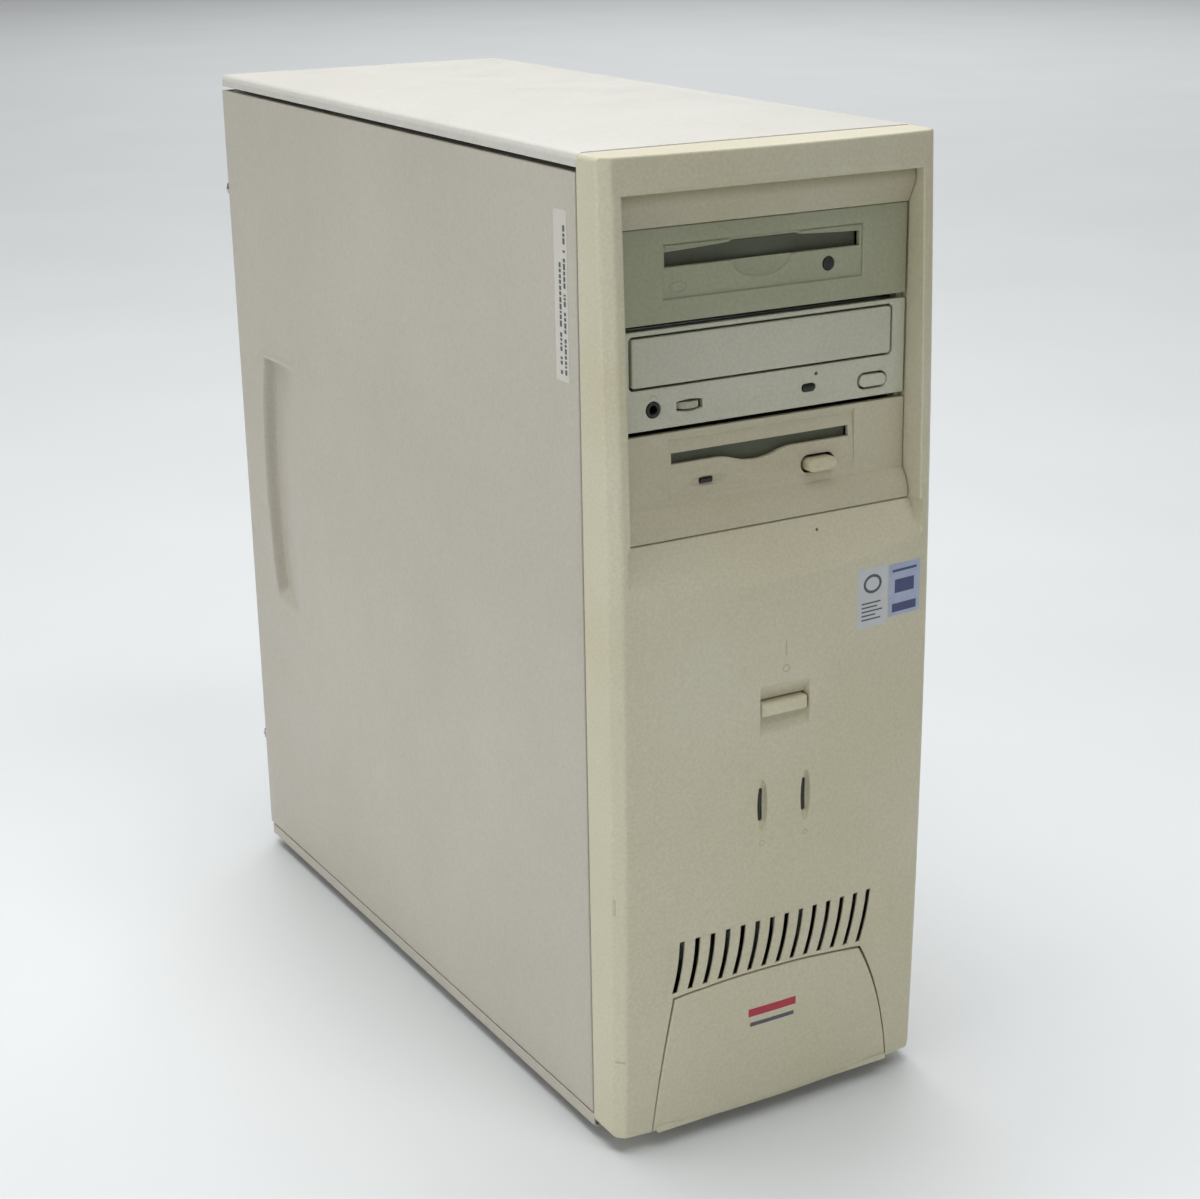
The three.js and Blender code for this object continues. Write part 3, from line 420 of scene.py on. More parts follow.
# Printed board: glossy solder mask over routed tracks that show as slightly lighter lines.
def solderMask(name, deep="#0f3d26", track="#1d5a37"):
    material, shader, coordinates = newMaterial(name)
    weave = addNode(material, "ShaderNodeTexBrick",
                    {"Scale": 1 / (38 * mm), "Mortar Size": 0.02, "Row Height": 0.11, "Brick Width": 0.9,
                     "Color1": (0, 0, 0, 1), "Color2": (0.25, 0.25, 0.25, 1), "Mortar": (1, 1, 1, 1)})
    turned = addNode(material, "ShaderNodeMapping", {"Rotation": (0, quarter, 0)}, {"Vector": coordinates})
    feed(material, weave, "Vector", turned.outputs[0])
    tone = mix(material, weave.outputs["Color"], deep, track)
    vias = addNode(material, "ShaderNodeTexVoronoi", {"Scale": 1 / (6 * mm)}, {"Vector": coordinates})
    dots = ramp(material, vias.outputs["Distance"], [(0.0, 1.0), (0.13, 0.0)])
    tone = mix(material, dots, tone, "#8f9a6a")
    feed(material, shader, "Base Color", tone)
    shader.inputs["Roughness"].default_value = 0.32
    shader.inputs["IOR"].default_value = 1.55
    bump(material, shader, weave.outputs["Color"], 0.03, 0.4)
    return material


# Small hard mouldings such as connectors, chips and knobs: even colour with a slight satin mottling.
def satinPlastic(name, color, second, roughness=0.4, sizeMm=3.0, depthMm=0.015):
    material, shader, coordinates = newMaterial(name)
    cloud = noise(material, coordinates, sizeMm, 4, 0.6)
    feed(material, shader, "Base Color", mix(material, cloud, color, second))
    roughen(material, shader, cloud, roughness, 0.06, 0.08)
    shader.inputs["IOR"].default_value = 1.5
    bump(material, shader, noise(material, coordinates, 0.8, 2), depthMm, 0.5)
    return material


bezelPlastic = mouldedAbs("yellowedBezelAbs", "#cac5ae", "#c2bca0", 0.9, 0.5)
surroundPlastic = mouldedAbs("warmBeigeSurroundAbs", "#c2bca5", "#b8b196", 0.9, 0.5)
discPlastic = mouldedAbs("greyBeigeDiscDriveAbs", "#c3c3b1", "#b9b9a5", 0.8, 0.48)
cartridgePlastic = mouldedAbs("greenGreyCartridgeDriveAbs", "#a2a48b", "#999b80", 1.0, 0.52)
buttonPlastic = mouldedAbs("creamButtonAbs", "#cfc9ae", "#c4bc9c", 0.8, 0.42)
doorPlastic = satinPlastic("darkSlotDoorAbs", "#4b4f3f", "#5c604c", 0.6, 5)
panelPaint = powderCoat("warmGreyPowderCoat", "#bab5a8", "#b5b0a3")
# The top cover wears the same paint as the side panels, mixed paler: the extra paleness is painted light from
# above.
paleLitCoverPaint = powderCoat("coverPowderCoatPaintedLight", "#c9c7c0", "#c4c2ba", scuffs=0.2)
zincSheet = galvanised("galvanisedSheet")
castAlloy = brushedMetal("castAluminium", "#8e9194", "#b4b7ba", (1, 1, 1), 0.42, 0.5)
extrudedAlloy = brushedMetal("extrudedAluminium", "#8c9093", "#c2c5c8", (1, 1, 14), 0.3, 1.0)
turnedSteel = brushedMetal("turnedNickelledSteel", "#9a9c9d", "#d0d1d1", (1, 12, 1), 0.25, 0.6)
goldPlate = brushedMetal("goldPlatedContacts", "#b8923c", "#e2c46d", (1, 1, 1), 0.25, 0.4)
blackPlastic = satinPlastic("blackNylon", "#151615", "#232422", 0.45)
chipResin = satinPlastic("blackEpoxyChip", "#17181a", "#26272a", 0.55, 1.2)
lampPlastic = satinPlastic("smokyLightPipe", "#0f120c", "#1d2117", 0.18, 4)
boardGreen = solderMask("greenSolderMask")
cardGreen = solderMask("darkGreenSolderMask", "#0c3a2c", "#1a5140")
ivoryPlastic = satinPlastic("ivoryConnectorNylon", "#e4dfcc", "#d5cfb8", 0.4)
brownPlastic = satinPlastic("brownConnectorNylon", "#4a2d1b", "#5e3b25", 0.45)
redPlastic = satinPlastic("redSwitchPlastic", "#a51c1c", "#bd2a26", 0.35)
bluePlastic = satinPlastic("blueConnectorPlastic", "#27478c", "#31559f", 0.4)
footRubber = satinPlastic("mouldedFootRubber", "#242424", "#333333", 0.8, 2, 0.04)
inkDark = satinPlastic("printedDarkInk", "#4c4f55", "#5b5e63", 0.6, 2, 0.002)
print("finishes mixed")


# Camera: in front, to the left and looking down.
view = {"place": (-532.493, -806.591, 568.778), "lens": 68.572, "shift": (-0.04032, 0.01218),
        "right": (0.85761413, -0.51420671, -0.0094587), "up": (0.17321328, 0.27147705, 0.94672983),
        "forward": (0.48424701, 0.81356725, -0.32188998)}
cameraData = bpy.data.cameras.new("studioCamera")
cameraData.lens = view["lens"]
cameraData.sensor_width = 36
cameraData.shift_x, cameraData.shift_y = view["shift"]
cameraData.clip_start = 0.05
camera = newObject("studioCamera", cameraData)
cameraTurn = Matrix((view["right"], view["up"], [-v for v in view["forward"]])).transposed().to_4x4()
camera.matrix_world = Matrix.Translation(at(*view["place"])) @ cameraTurn
bpy.context.scene.camera = camera


# Front bezel.
bezel = {"half": 84, "edgeDepth": 19.7, "chamfer": 4.9, "bowAcross": 4.7, "bowUp": 4.0, "bowCentre": 217,
         "bowReach": 205, "bottom": 8, "top": 449.6, "corner": 3, "wall": 2.8, "rim": 0.9, "edgeRound": 1.0,
         "bayHalf": 74.9, "bayBottom": 286.5, "bayTop": 433.8, "facetHalf": 76.4,
         "hoodStart": -15.5, "hoodSlope": 0.62, "crestStart": -20.4, "crestSlope": 0.9,
         "scoopHalf": 13.1, "scoopRadius": 16, "scoopFloor": -24.6, "buttonZ": 205.4,
         "lampX": 11.6, "lampZ": 160.3, "ventCount": 14, "ventHalf": 1.35}


def smoothMax(a, b, reach):
    h = min(1.0, max(0.0, 0.5 + 0.5 * (a - b) / reach))
    return b + (a - b) * h + reach * h * (1 - h)


def smoothStep(t):
    t = min(1.0, max(0.0, t))
    return t * t * (3 - 2 * t)


def roundOver(distance, radius):
    if distance >= radius:
        return 0.0
    d = max(distance, 0.0)
    return radius - math.sqrt(max(radius ** 2 - (radius - d) ** 2, 0.0))


def ventEnds(i):
    b = bezel
    middle = (i - (b["ventCount"] - 1) / 2) / b["ventCount"]
    top = (-51.7 + i * 7.85, 103.4 - 3 * middle ** 2)
    bottom = (-55.3 + i * 7.7, 79.6 - 12 * middle ** 2 - 0.9 * middle)
    return top, bottom


# Depth of the outer skin at (x, z): bowed both ways, with chamfered sides, sloping facets and scoops.
def faceDepth(x, z, details=True):
    b = bezel
    rise = b["bowUp"] * ((z - b["bowCentre"]) / b["bowReach"]) ** 2
    flatHalf = b["half"] - b["chamfer"]
    across = min(abs(x) / flatHalf, 1.0)
    bow = -(b["edgeDepth"] + b["chamfer"]) - b["bowAcross"] * (1 - across ** 2) + rise
    side = -b["edgeDepth"] + rise - (b["half"] - abs(x))
    y = smoothMax(bow, side, 0.8)
    facet = y
    if z <= b["bayBottom"] + 0.05:
        facet = smoothMax(y, b["hoodStart"] - b["hoodSlope"] * (b["bayBottom"] - z), 0.45)
    elif z >= b["bayTop"] - 0.05:
        facet = smoothMax(y, b["crestStart"] - b["crestSlope"] * (z - b["bayTop"]), 0.45)
    y += (facet - y) * smoothStep((b["facetHalf"] - abs(x)) / 0.7)
    if not details:
        return y
    dz = z - b["buttonZ"]
    if abs(dz) < b["scoopRadius"]:
        scoop = b["scoopFloor"] - b["scoopRadius"] + math.sqrt(b["scoopRadius"] ** 2 - dz ** 2)
        y += (smoothMax(y, scoop, 0.35) - y) * smoothStep((b["scoopHalf"] - abs(x)) / 0.45)
    field = min(x + 58.5, 55.5 - x, z - 77.5 + 0.0012 * (x + 5) ** 2, 105.2 - 0.0009 * (x + 1) ** 2 - z)
    y += 0.5 * smoothStep(field / 1.2)
    crease = abs((x - 52.3) - (62.5 - 52.3) * (100 - z) / (100 - 26))
    if 26 < z < 104 and crease < 3:
        y += 0.22 * (1 - crease / 3) ** 2
    bay = max(abs(x) - b["bayHalf"], b["bayBottom"] - z, z - b["bayTop"])
    y += roundOver(bay, b["rim"])
    y += roundOver(min(b["half"] - abs(x), z - b["bottom"], b["top"] - z), b["edgeRound"])
    return y


def spread(start, end, step, extras=()):
    count = max(1, round((end - start) / step))
    lines = [start + (end - start) * i / count for i in range(count + 1)]
    lines = [v for v in lines if all(abs(v - extra) > 0.25 for extra in extras)]
    return sorted(set(lines + [e for e in extras if start <= e <= end]))


# A grid primitive whose rows and columns are laid on chosen lines, then pushed to the wanted depth.
def gridSkin(name, columns, rows, point):
    bpy.ops.mesh.primitive_grid_add(x_subdivisions=len(columns) - 1, y_subdivisions=len(rows) - 1, size=1)
    piece = bpy.context.object
    piece.name = name
    for index, vertex in enumerate(piece.data.vertices):
        vertex.co = at(*point(columns[index % len(columns)], rows[index // len(columns)]))
    return piece


def thicken(piece, push, flat=None):
    openMesh(piece)
    bpy.ops.mesh.extrude_region_move(TRANSFORM_OT_translate={"value": Vector(push) * mm})
    if flat is not None:
        bpy.ops.transform.resize(value=(1, 0, 1), center_override=at(0, flat, 0))
    bpy.ops.mesh.select_all(action="SELECT")
    bpy.ops.mesh.normals_make_consistent(inside=False)
    closeMesh()
    return piece


def both(values):
    return [side * value for value in values for side in (-1, 1)]


def lowerPlateOutline(shrink, low=4):
    left = bend((-66.8 + shrink, low), (-63.5 + shrink, 38), (-56.3 + shrink, 75.2 - shrink), 14)
    top = bend((-56.3 + shrink, 75.2 - shrink), (-5, 82.4 - shrink), (46.5 - shrink, 74.2 - shrink), 24)
    right = bend((46.5 - shrink, 74.2 - shrink), (62.5 - shrink, 45), (66.2 - shrink, low), 14)
    return left, top, right


def makeBezel():
    b = bezel
    columns = spread(-b["half"], b["half"], 2.0, both(
        [b["half"], 83.9, 83.7, 83.35, 83, 79.6, 79.1, 78.6, 77, 76.5, 76.2, 75.95, 75.65, 75.35, 75.1, 74.96,
         74.7, 13.5, 13.15, 12.95, 12.75, 12.4]))
    rows = spread(b["bottom"], b["top"], 2.0,
                  [8.1, 8.3, 8.6, 9, 76.5, 78, 79.5, 103, 104, 105, 106] + [188 + 0.7 * i for i in range(50)]
                  + [262 + 0.6 * i for i in range(20)] + [285.4, 285.8, 286.1, 286.35, 286.46]
                  + [433.85, 433.95, 434.2, 434.5, 434.9, 435.5, 436, 436.5, 437, 437.5, 438, 438.4, 438.8]
                  + [439.2, 439.7]
                  + [448.6, 449, 449.3, 449.5])
    skin = gridSkin("bezelShell", columns, rows, lambda x, z: (x, faceDepth(x, z), z))
    shell = thicken(skin, (0, 10, 0), 0)
    rim = rectangle(-b["half"], b["half"], b["bottom"], b["top"], b["corner"], 6)
    corners = cutout("bezelCorners", [rim], "xz", -45, 6, 0.0)
    carve(shell, [corners], "INTERSECT")

    w = b["wall"]

    def insideDepth(x, z):   # the skin is thinned behind the vents
        thin = abs(x) < 59 and 71 < z < 109
        return x, faceDepth(x, z, False) + (1.3 if thin else w * 1.25), z

    cavityColumns = spread(-b["half"] + w, b["half"] - w, 8, both([76.5, 75.5, 79, 58.5, 59.5]))
    cavityRows = spread(b["bottom"] + w, b["top"] - w, 8,
                        [70.5, 71.5, 108.5, 109.5, 285.9, 287, 433.3, 434.4, 440])
    cavity = thicken(gridSkin("cavity", cavityColumns, cavityRows, insideDepth), (0, 6, 0), 3)
    collar = block("collar", (-77.5, -40, 283.9), (77.5, -3, 436.4))
    scoopBack = block("scoopBack", (-17, -40, 188), (17, -16, 223))
    lampBacks = [block("lampBack", (s * b["lampX"] - 4, -40, 146), (s * b["lampX"] + 4, -18, 175))
                 for s in (-1, 1)]
    carve(cavity, [collar, scoopBack] + lampBacks)

    tools = [cavity, block("bay", (-b["bayHalf"] - 0.03, -60, b["bayBottom"] - 0.03),
                           (b["bayHalf"] + 0.03, 9, b["bayTop"] + 0.03))]
    tools.append(cutout("buttonHole", [rectangle(-13.0, 13.0, b["buttonZ"] - 4.0, b["buttonZ"] + 4.0, 1.3)],
                        "xz", -40, -10, 0.0))
    for s in (-1, 1):
        lampX = s * b["lampX"]
        tools.append(ball("lampScoop", (2.7, 2.9, 12.6), (lampX, -29.2, b["lampZ"])))
        hole = rectangle(lampX - 1.15, lampX + 1.15, b["lampZ"] - 8, b["lampZ"] + 8, 1.1)
        tools.append(cutout("lampHole", [hole], "xz", -40, -10, 0.0))
    for i in range(b["ventCount"]):
        (topX, topZ), (lowX, lowZ) = ventEnds(i)
        midX, midZ = (topX + lowX) / 2 + 1.7, (topZ + lowZ) / 2
        half = b["ventHalf"]
        outline = (bend((lowX + half, lowZ), (midX + half, midZ), (topX + half, topZ), 8)
                   + bend((topX - half, topZ), (midX - half, midZ), (lowX - half, lowZ), 8))
        tools.append(cutout("vent", [outline], "xz", -40, -12, 0.0))
    left, top, right = lowerPlateOutline(0)
    tools.append(cutout("platePocket", [left + top[1:] + right[1:]], "xz", -60, -8, 0.0))
    tools.append(rod("hoodHole", "y", 0.7, (22.6, -20, 280.5), 10, 16))
    carve(shell, tools)
    mend(shell, 0.004)
    smooth(shell, 32)
    dress(shell, bezelPlastic, "chassis", ("front_bezel",))


def makeLowerPlate():
    left, top, right = lowerPlateOutline(0.95, bezel["bottom"])
    across = [0, 0.002, 0.006, 0.012] + [0.02 + 0.96 * i / 50 for i in range(51)] + [0.988, 0.994, 0.998, 1]
    up = [i / 34 * 0.975 for i in range(35)] + [0.985, 0.992, 0.997, 1]

    def along(points, t):
        place = t * (len(points) - 1)
        index = min(int(place), len(points) - 2)
        part = place - index
        return [a + (b - a) * part for a, b in zip(points[index], points[index + 1])]

    def place(u, v):
        lowLeft, lowRight = left[0], right[-1]
        a, b = along(left, v), along(right[::-1], v)
        t = along(top, u)
        low = [p + (q - p) * u for p, q in zip(lowLeft, lowRight)]
        corner = [(1 - u) * (1 - v) * lowLeft[k] + u * (1 - v) * lowRight[k]
                  + (1 - u) * v * top[0][k] + u * v * top[-1][k] for k in (0, 1)]
        return [(1 - u) * a[k] + u * b[k] + (1 - v) * low[k] + v * t[k] - corner[k] for k in (0, 1)]

    def point(u, v):
        x, z = place(u, v)
        border = min(min(u, 1 - u) * 118, (1 - v) * 70)
        return x, faceDepth(x, z) - 0.15 + roundOver(border, 0.5), z

    plate = thicken(gridSkin("lowerPlate", across, up, point), (0, 2.6, 0))
    lip = block("plateLip", (-64, -24, 8.4), (64, -8.6, 10.8))
    plate = joinUp("lowerPlate", [plate, lip])
    smooth(plate, 35)
    dress(plate, bezelPlastic, "chassis", ("lower_front_plate",))


# A thin patch that follows the bowed front, for stickers, print, scuffs and the painted shade of moulded marks.
def patch(name, x0, x1, z0, z1, proud, step=2.0):
    skin = gridSkin(name, spread(x0, x1, step), spread(z0, z1, step),
                    lambda x, z: (x, faceDepth(x, z) - proud, z))
    return smooth(thicken(skin, (0, 0.3, 0)), 50)


def ringPatch(name, x, z, rx, rz, wide, proud):
    def point(angle, inset):
        px, pz = x + (rx - inset) * math.cos(angle), z + (rz - inset) * math.sin(angle)
        return px, faceDepth(px, pz) - proud, pz

    skin = gridSkin(name, [math.pi * i / 18 for i in range(37)], [0, wide / 2, wide], point)
    return smooth(mend(thicken(skin, (0, 0.3, 0))), 50)


def makeControls():
    b = bezel
    z = b["buttonZ"]
    cap = cutout("powerBar", [rectangle(-12.3, 12.3, z - 3.2, z + 3.2, 1.2)], "xz", -28.9, -20, 1.1, 4)
    dress(cap, buttonPlastic, "power_button", ("power_button",))
    for side, node in ((-1, "power_light_pipe"), (1, "disk_light_pipe")):
        x = side * b["lampX"]
        outline = rectangle(x - 0.85, x + 0.85, b["lampZ"] - 7.7, b["lampZ"] + 7.7, 0.8)
        lens = cutout("lens" + node.split("_")[0].capitalize(), [outline], "xz", -26.6, -10.6, 0.3)
        dress(lens, lampPlastic, "chassis", (node,))
    # The power and lamp symbols are thin patches in a darker tone: painted shade for marks moulded into the
    # bezel.
    marks = [patch("onMark", -0.15, 0.45, 229.5, 236.2, 0.03, 1.0),
             ringPatch("offMark", 0.3, 223.4, 1.9, 1.9, 0.5, 0.03)]
    for side in (-1, 1):
        marks.append(ringPatch("lampMark", side * b["lampX"], 142.3, 1.5, 1.3, 0.4, 0.03))
    paintedShadeMarks = joinUp("frontMarks", marks)
    dress(paintedShadeMarks, markPaintedShade, "chassis")

    stickers = [("leftSticker", 38.8, 56, 233.5, 261.3), ("rightSticker", 56.9, 75.6, 235.9, 260.3)]
    for name, x0, x1, z0, z1 in stickers:
        base = patch(name, x0, x1, z0, z1, 0.08)
        dress(base, stickerFilm if name == "leftSticker" else silverFilm, "chassis")
    lines = []
    for i, width in enumerate((11, 9, 12, 8, 11)):
        lines.append(patch("line", 41.2, 41.2 + width, 244.5 - i * 1.9, 245.2 - i * 1.9, 0.12, 1.5))
    lines.append(ringPatch("roundMark", 47.4, 253.6, 5.2, 4.4, 1.3, 0.12))
    dress(joinUp("leftStickerPrint", lines), inkDark, "chassis")
    band = [patch("band", 59, 73.4, 237.6, 241.6, 0.12), patch("hill", 60.5, 72, 246.5, 252.8, 0.12),
            patch("topLine", 59, 73.4, 256.4, 257.6, 0.12)]
    dress(joinUp("rightStickerPrint", band), inkBlue, "chassis")
    dress(patch("redPlateBar", -17, 9, 55.2, 59.2, 0.21), inkRed, "chassis")
    dress(patch("greyPlateBar", -16, 8, 50, 52, 0.21), inkDark, "chassis")
    scuffs = [patch("scuff", -82.9, -79.5, 47.2, 48.4, 0.02, 0.5),
              patch("scuff", -83.6, -82.6, 121, 129, 0.02, 0.5)]
    dress(joinUp("rubbedScuffs", scuffs), scuffDirt, "chassis")


# Drive bay surround, with the floppy face moulded in it.
floppy = {"left": -46.5, "right": 45, "bottom": 317.8, "top": 322.8, "lampX": -29, "lampZ": 308.8,
          "button": (19.4, 37.4, 304.2, 312.4)}
driveFace = -11


def makeSurround():
    b = bezel
    half, floor, ceiling = b["bayHalf"] - 0.4, b["bayBottom"] + 0.55, b["bayTop"] - 0.55
    lip = bend((-16.0, floor + 2.2), (-15.4, floor + 8.5), (driveFace, floor + 12.9), 10)
    section = ([(-15.8, floor)] + lip
               + [(driveFace, 332.1), (driveFace + 3, 332.1), (driveFace + 3, floor + 8), (driveFace + 2, floor)])
    lower = cutout("surroundLower", [section], "yz", -half, half, 0.35)
    pillow = (bend((-14.6, ceiling), (-16.6, ceiling - 3.2), (-14.4, ceiling - 7), 8)
              + bend((-14.4, ceiling - 7), (-12.9, ceiling - 11), (driveFace + 0.2, ceiling - 14.6), 6)[1:])
    upper = cutout("surroundUpper", [pillow + [(driveFace + 3, ceiling - 14.6), (driveFace + 3, ceiling)]],
                   "yz", -half, half, 0.35)
    f = floppy
    low, high = f["bottom"], f["top"]
    dip = (bend((-24, low), (-19, low), (-14, 315.9), 6) + bend((-14, 315.9), (-4, 312.9), (6, 315.9), 8)[1:]
           + bend((6, 315.9), (11, low), (16, low), 6)[1:])
    slot = [(f["left"], low)] + dip + [(f["right"], low), (f["right"], high), (f["left"], high)]
    x0, x1, z0, z1 = f["button"]
    slope = [(-13, 300.5), (driveFace + 0.02, 303), (driveFace + 1.5, 328.4), (driveFace - 0.5, 331.2),
             (-13, 331.2)]
    wedge = cutout("wedge", [slope], "yz", -48.6, 47.6, 0.0)
    carve(lower, [wedge])
    carve(lower, [
        cutout("slot", [slot], "xz", -30, 0, 0.0),
        cutout("buttonHole", [rectangle(x0, x1, z0, z1, 4, 8)], "xz", -30, 0, 0.0),
        block("lampHole", (f["lampX"] - 3.3, -30, f["lampZ"] - 1.3), (f["lampX"] + 3.3, 0, f["lampZ"] + 1.3)),
        ball("lampScoop", (10, 1.6, 2.3), (f["lampX"] + 0.4, driveFace + 0.1, f["lampZ"]))])
    softenEdges(lower, 0.3, 2, 50)
    rails = [block("rail", (min(s * half, s * (half - 2.6)), driveFace + 4.2, floor + 2),
                   (max(s * half, s * (half - 2.6)), driveFace + 9, ceiling)) for s in (-1, 1)]
    rails += [block("rail", (-half, driveFace + 2.8, ceiling - 3), (half, driveFace + 9, ceiling)),
              block("rail", (-half, driveFace + 1.8, floor), (half, driveFace + 9, floor + 3))]
    surround = joinUp("baySurroundFrame", [lower, upper] + rails)
    smooth(surround, 38)
    dress(surround, surroundPlastic, "chassis", ("bay_surround",))

    button = cutout("floppyButtonCap", [rectangle(x0 + 1.8, x1 - 1, z0 + 0.9, z1 - 1.5, 2.8, 8)], "xz",
                    driveFace - 3.8, -6.9, 1.3, 4)
    carve(button, [ball("thumbGroove", (7, 0.9, 1.6), (28.4, driveFace - 4.2, 308.6))])
    smooth(button, 40)
    dress(button, buttonPlastic, "floppy_eject_button", ("floppy_eject_button",))
    outline = rectangle(f["lampX"] - 3, f["lampX"] + 3, f["lampZ"] - 1, f["lampZ"] + 1, 0.5)
    lens = cutout("floppyLens", [outline], "xz", driveFace + 0.5, -4, 0.25)
    dress(lens, lampPlastic, "chassis", ("floppy_drive_light",))
    refine("floppy_slot_door", doorPlastic, "floppy_slot_door", 0.2)


# Disc drive.
disc = {"low": 334.4, "high": 376.5, "half": 73.9, "tray": (-66, 66, 353, 373.6), "wheel": (-37.7, 342.9)}


# The drive's body behind its face, as a hollow frame.
def driveFrame(name, low, high, start):
    outer = rectangle(-71, 71, low + 0.9, high - 0.9)
    inner = rectangle(-69.4, 69.4, low + 2.6, high - 2.6)
    return cutout(name, [outer, inner], "xz", driveFace + start, -1.3, 0.1)


def makeDiscDrive():
    d = disc
    x0, x1, z0, z1 = d["tray"]
    wheelX, wheelZ = d["wheel"]
    above, below = [bend((wheelX - 6.4, wheelZ + s * 1.9), (wheelX, wheelZ + s * 3.1),
                         (wheelX + 6.4, wheelZ + s * 1.9), 8) for s in (1, -1)]
    wheelSlot = above[::-1] + below
    holes = [rectangle(x0 - 1.1, x1 + 1.1, z0 - 1.1, z1 + 1.1, 2.1), wheelSlot, circle(-55.5, 343, 3.6),
             rectangle(19.3, 26.5, 340.8, 344.4, 1.6), circle(26.9, 348.3, 0.8, 12),
             rectangle(48.9, 64.7, 338, 345.4, 3.6, 8)]
    face = cutout("discDriveFace", [rectangle(-d["half"], d["half"], d["low"], d["high"], 0.8)] + holes,
                  "xz", driveFace, driveFace + 3, 0.4, 3)
    emblem = [cutout("emblem", [rectangle(-5.5 + i * 0.4, 4.5, 341 + i * 2, 341.9 + i * 2, 0.3)], "xz",
                     driveFace - 0.12, driveFace + 0.5, 0.1) for i in range(3)]
    back = driveFrame("discDriveFrame", d["low"], d["high"], 2.8)
    face = joinUp("discDriveFace", [face, back] + emblem)
    dress(face, discPlastic, "chassis", ("optical_drive_fascia",))

    door = cutout("trayDoor", [rectangle(x0, x1, z0, z1, 1.3)], "xz", driveFace - 0.5, -7.6, 0.7, 3)
    notch = [(-58, 150), (-58, 190), (58, 190), (58, 150)]
    plate = cutout("trayPlate", [rectangle(-64.4, 64.4, -8, 182, 2), notch], "xy", 356, 362, 0.4)
    carve(plate, [rod("discWell", "z", 61, (0, 74, 364), 10, 96),
                  block("lensSlot", (-16, 60, 350), (16, 160, 366)),
                  rod("smallWell", "z", 41, (0, 74, 363), 9.4, 96)])
    softenEdges(plate, 0.25, 2, 40)
    tray = joinUp("trayAndDoor", [door, plate])
    smooth(tray, 38)
    dress(tray, discPlastic, "disc_tray", ("disc_tray",))

    outline = rectangle(49.9, 63.7, 339, 344.4, 2.6, 8)
    button = cutout("discButtonCap", [outline], "xz", driveFace - 1.2, -7, 0.8, 4)
    dress(button, discPlastic, "optical_eject_button", ("optical_eject_button",))

    axle = (wheelX, driveFace - 1.1 + 6.5, wheelZ)
    wheel = rod("wheelRim", "z", 6.4, axle, 2.6, 60)
    openMesh(wheel, "DESELECT")
    closeMesh()
    for face in wheel.data.polygons:
        face.select = abs(face.normal.z) < 0.5 and face.index % 2 == 0
    bpy.ops.object.mode_set(mode="EDIT")
    bpy.ops.mesh.inset(thickness=0.12 * mm, depth=-0.25 * mm, use_individual=True)
    closeMesh()
    pin = rod("wheelPin", "z", 1.2, axle, 6.6, 16)
    wheel = joinUp("volumeThumbwheel", [wheel, pin])
    dress(smooth(wheel, 30), discPlastic, "volume_wheel", ("volume_wheel",))

    ring = cutout("jackRing", [circle(-55.5, 343, 3.3), circle(-55.5, 343, 1.9)], "xz",
                  driveFace - 0.1, -1.6, 0.3)
    dress(ring, blackPlastic, "chassis", ("headphone_jack",))
    lens = cutout("discLens", [rectangle(19.7, 26.1, 341.2, 344, 1.3)], "xz", driveFace - 0.2, -7, 0.3)
    dress(lens, lampPlastic, "chassis", ("optical_drive_light",))
    # The headphone symbol is a thin sliver in the darker mark tone: painted shade for a moulded mark.
    mark = cutout("jackMark", [bend((-57.6, 347.6), (-55.5, 351.2), (-53.4, 347.6), 8)
                               + bend((-54.0, 347.6), (-55.5, 350.2), (-57.0, 347.6), 8)], "xz",
                  driveFace - 0.06, driveFace + 0.3, 0.0)
    dress(mark, markPaintedShade, "chassis")


# Cartridge drive.
cartridge = {"low": 378.9, "high": 418.4, "window": (-50.4, 50.4, 388.5, 411.4), "slotHalf": 49.2,
             "slotLow": 401.6, "slotHigh": 408, "button": (33, 395.4)}


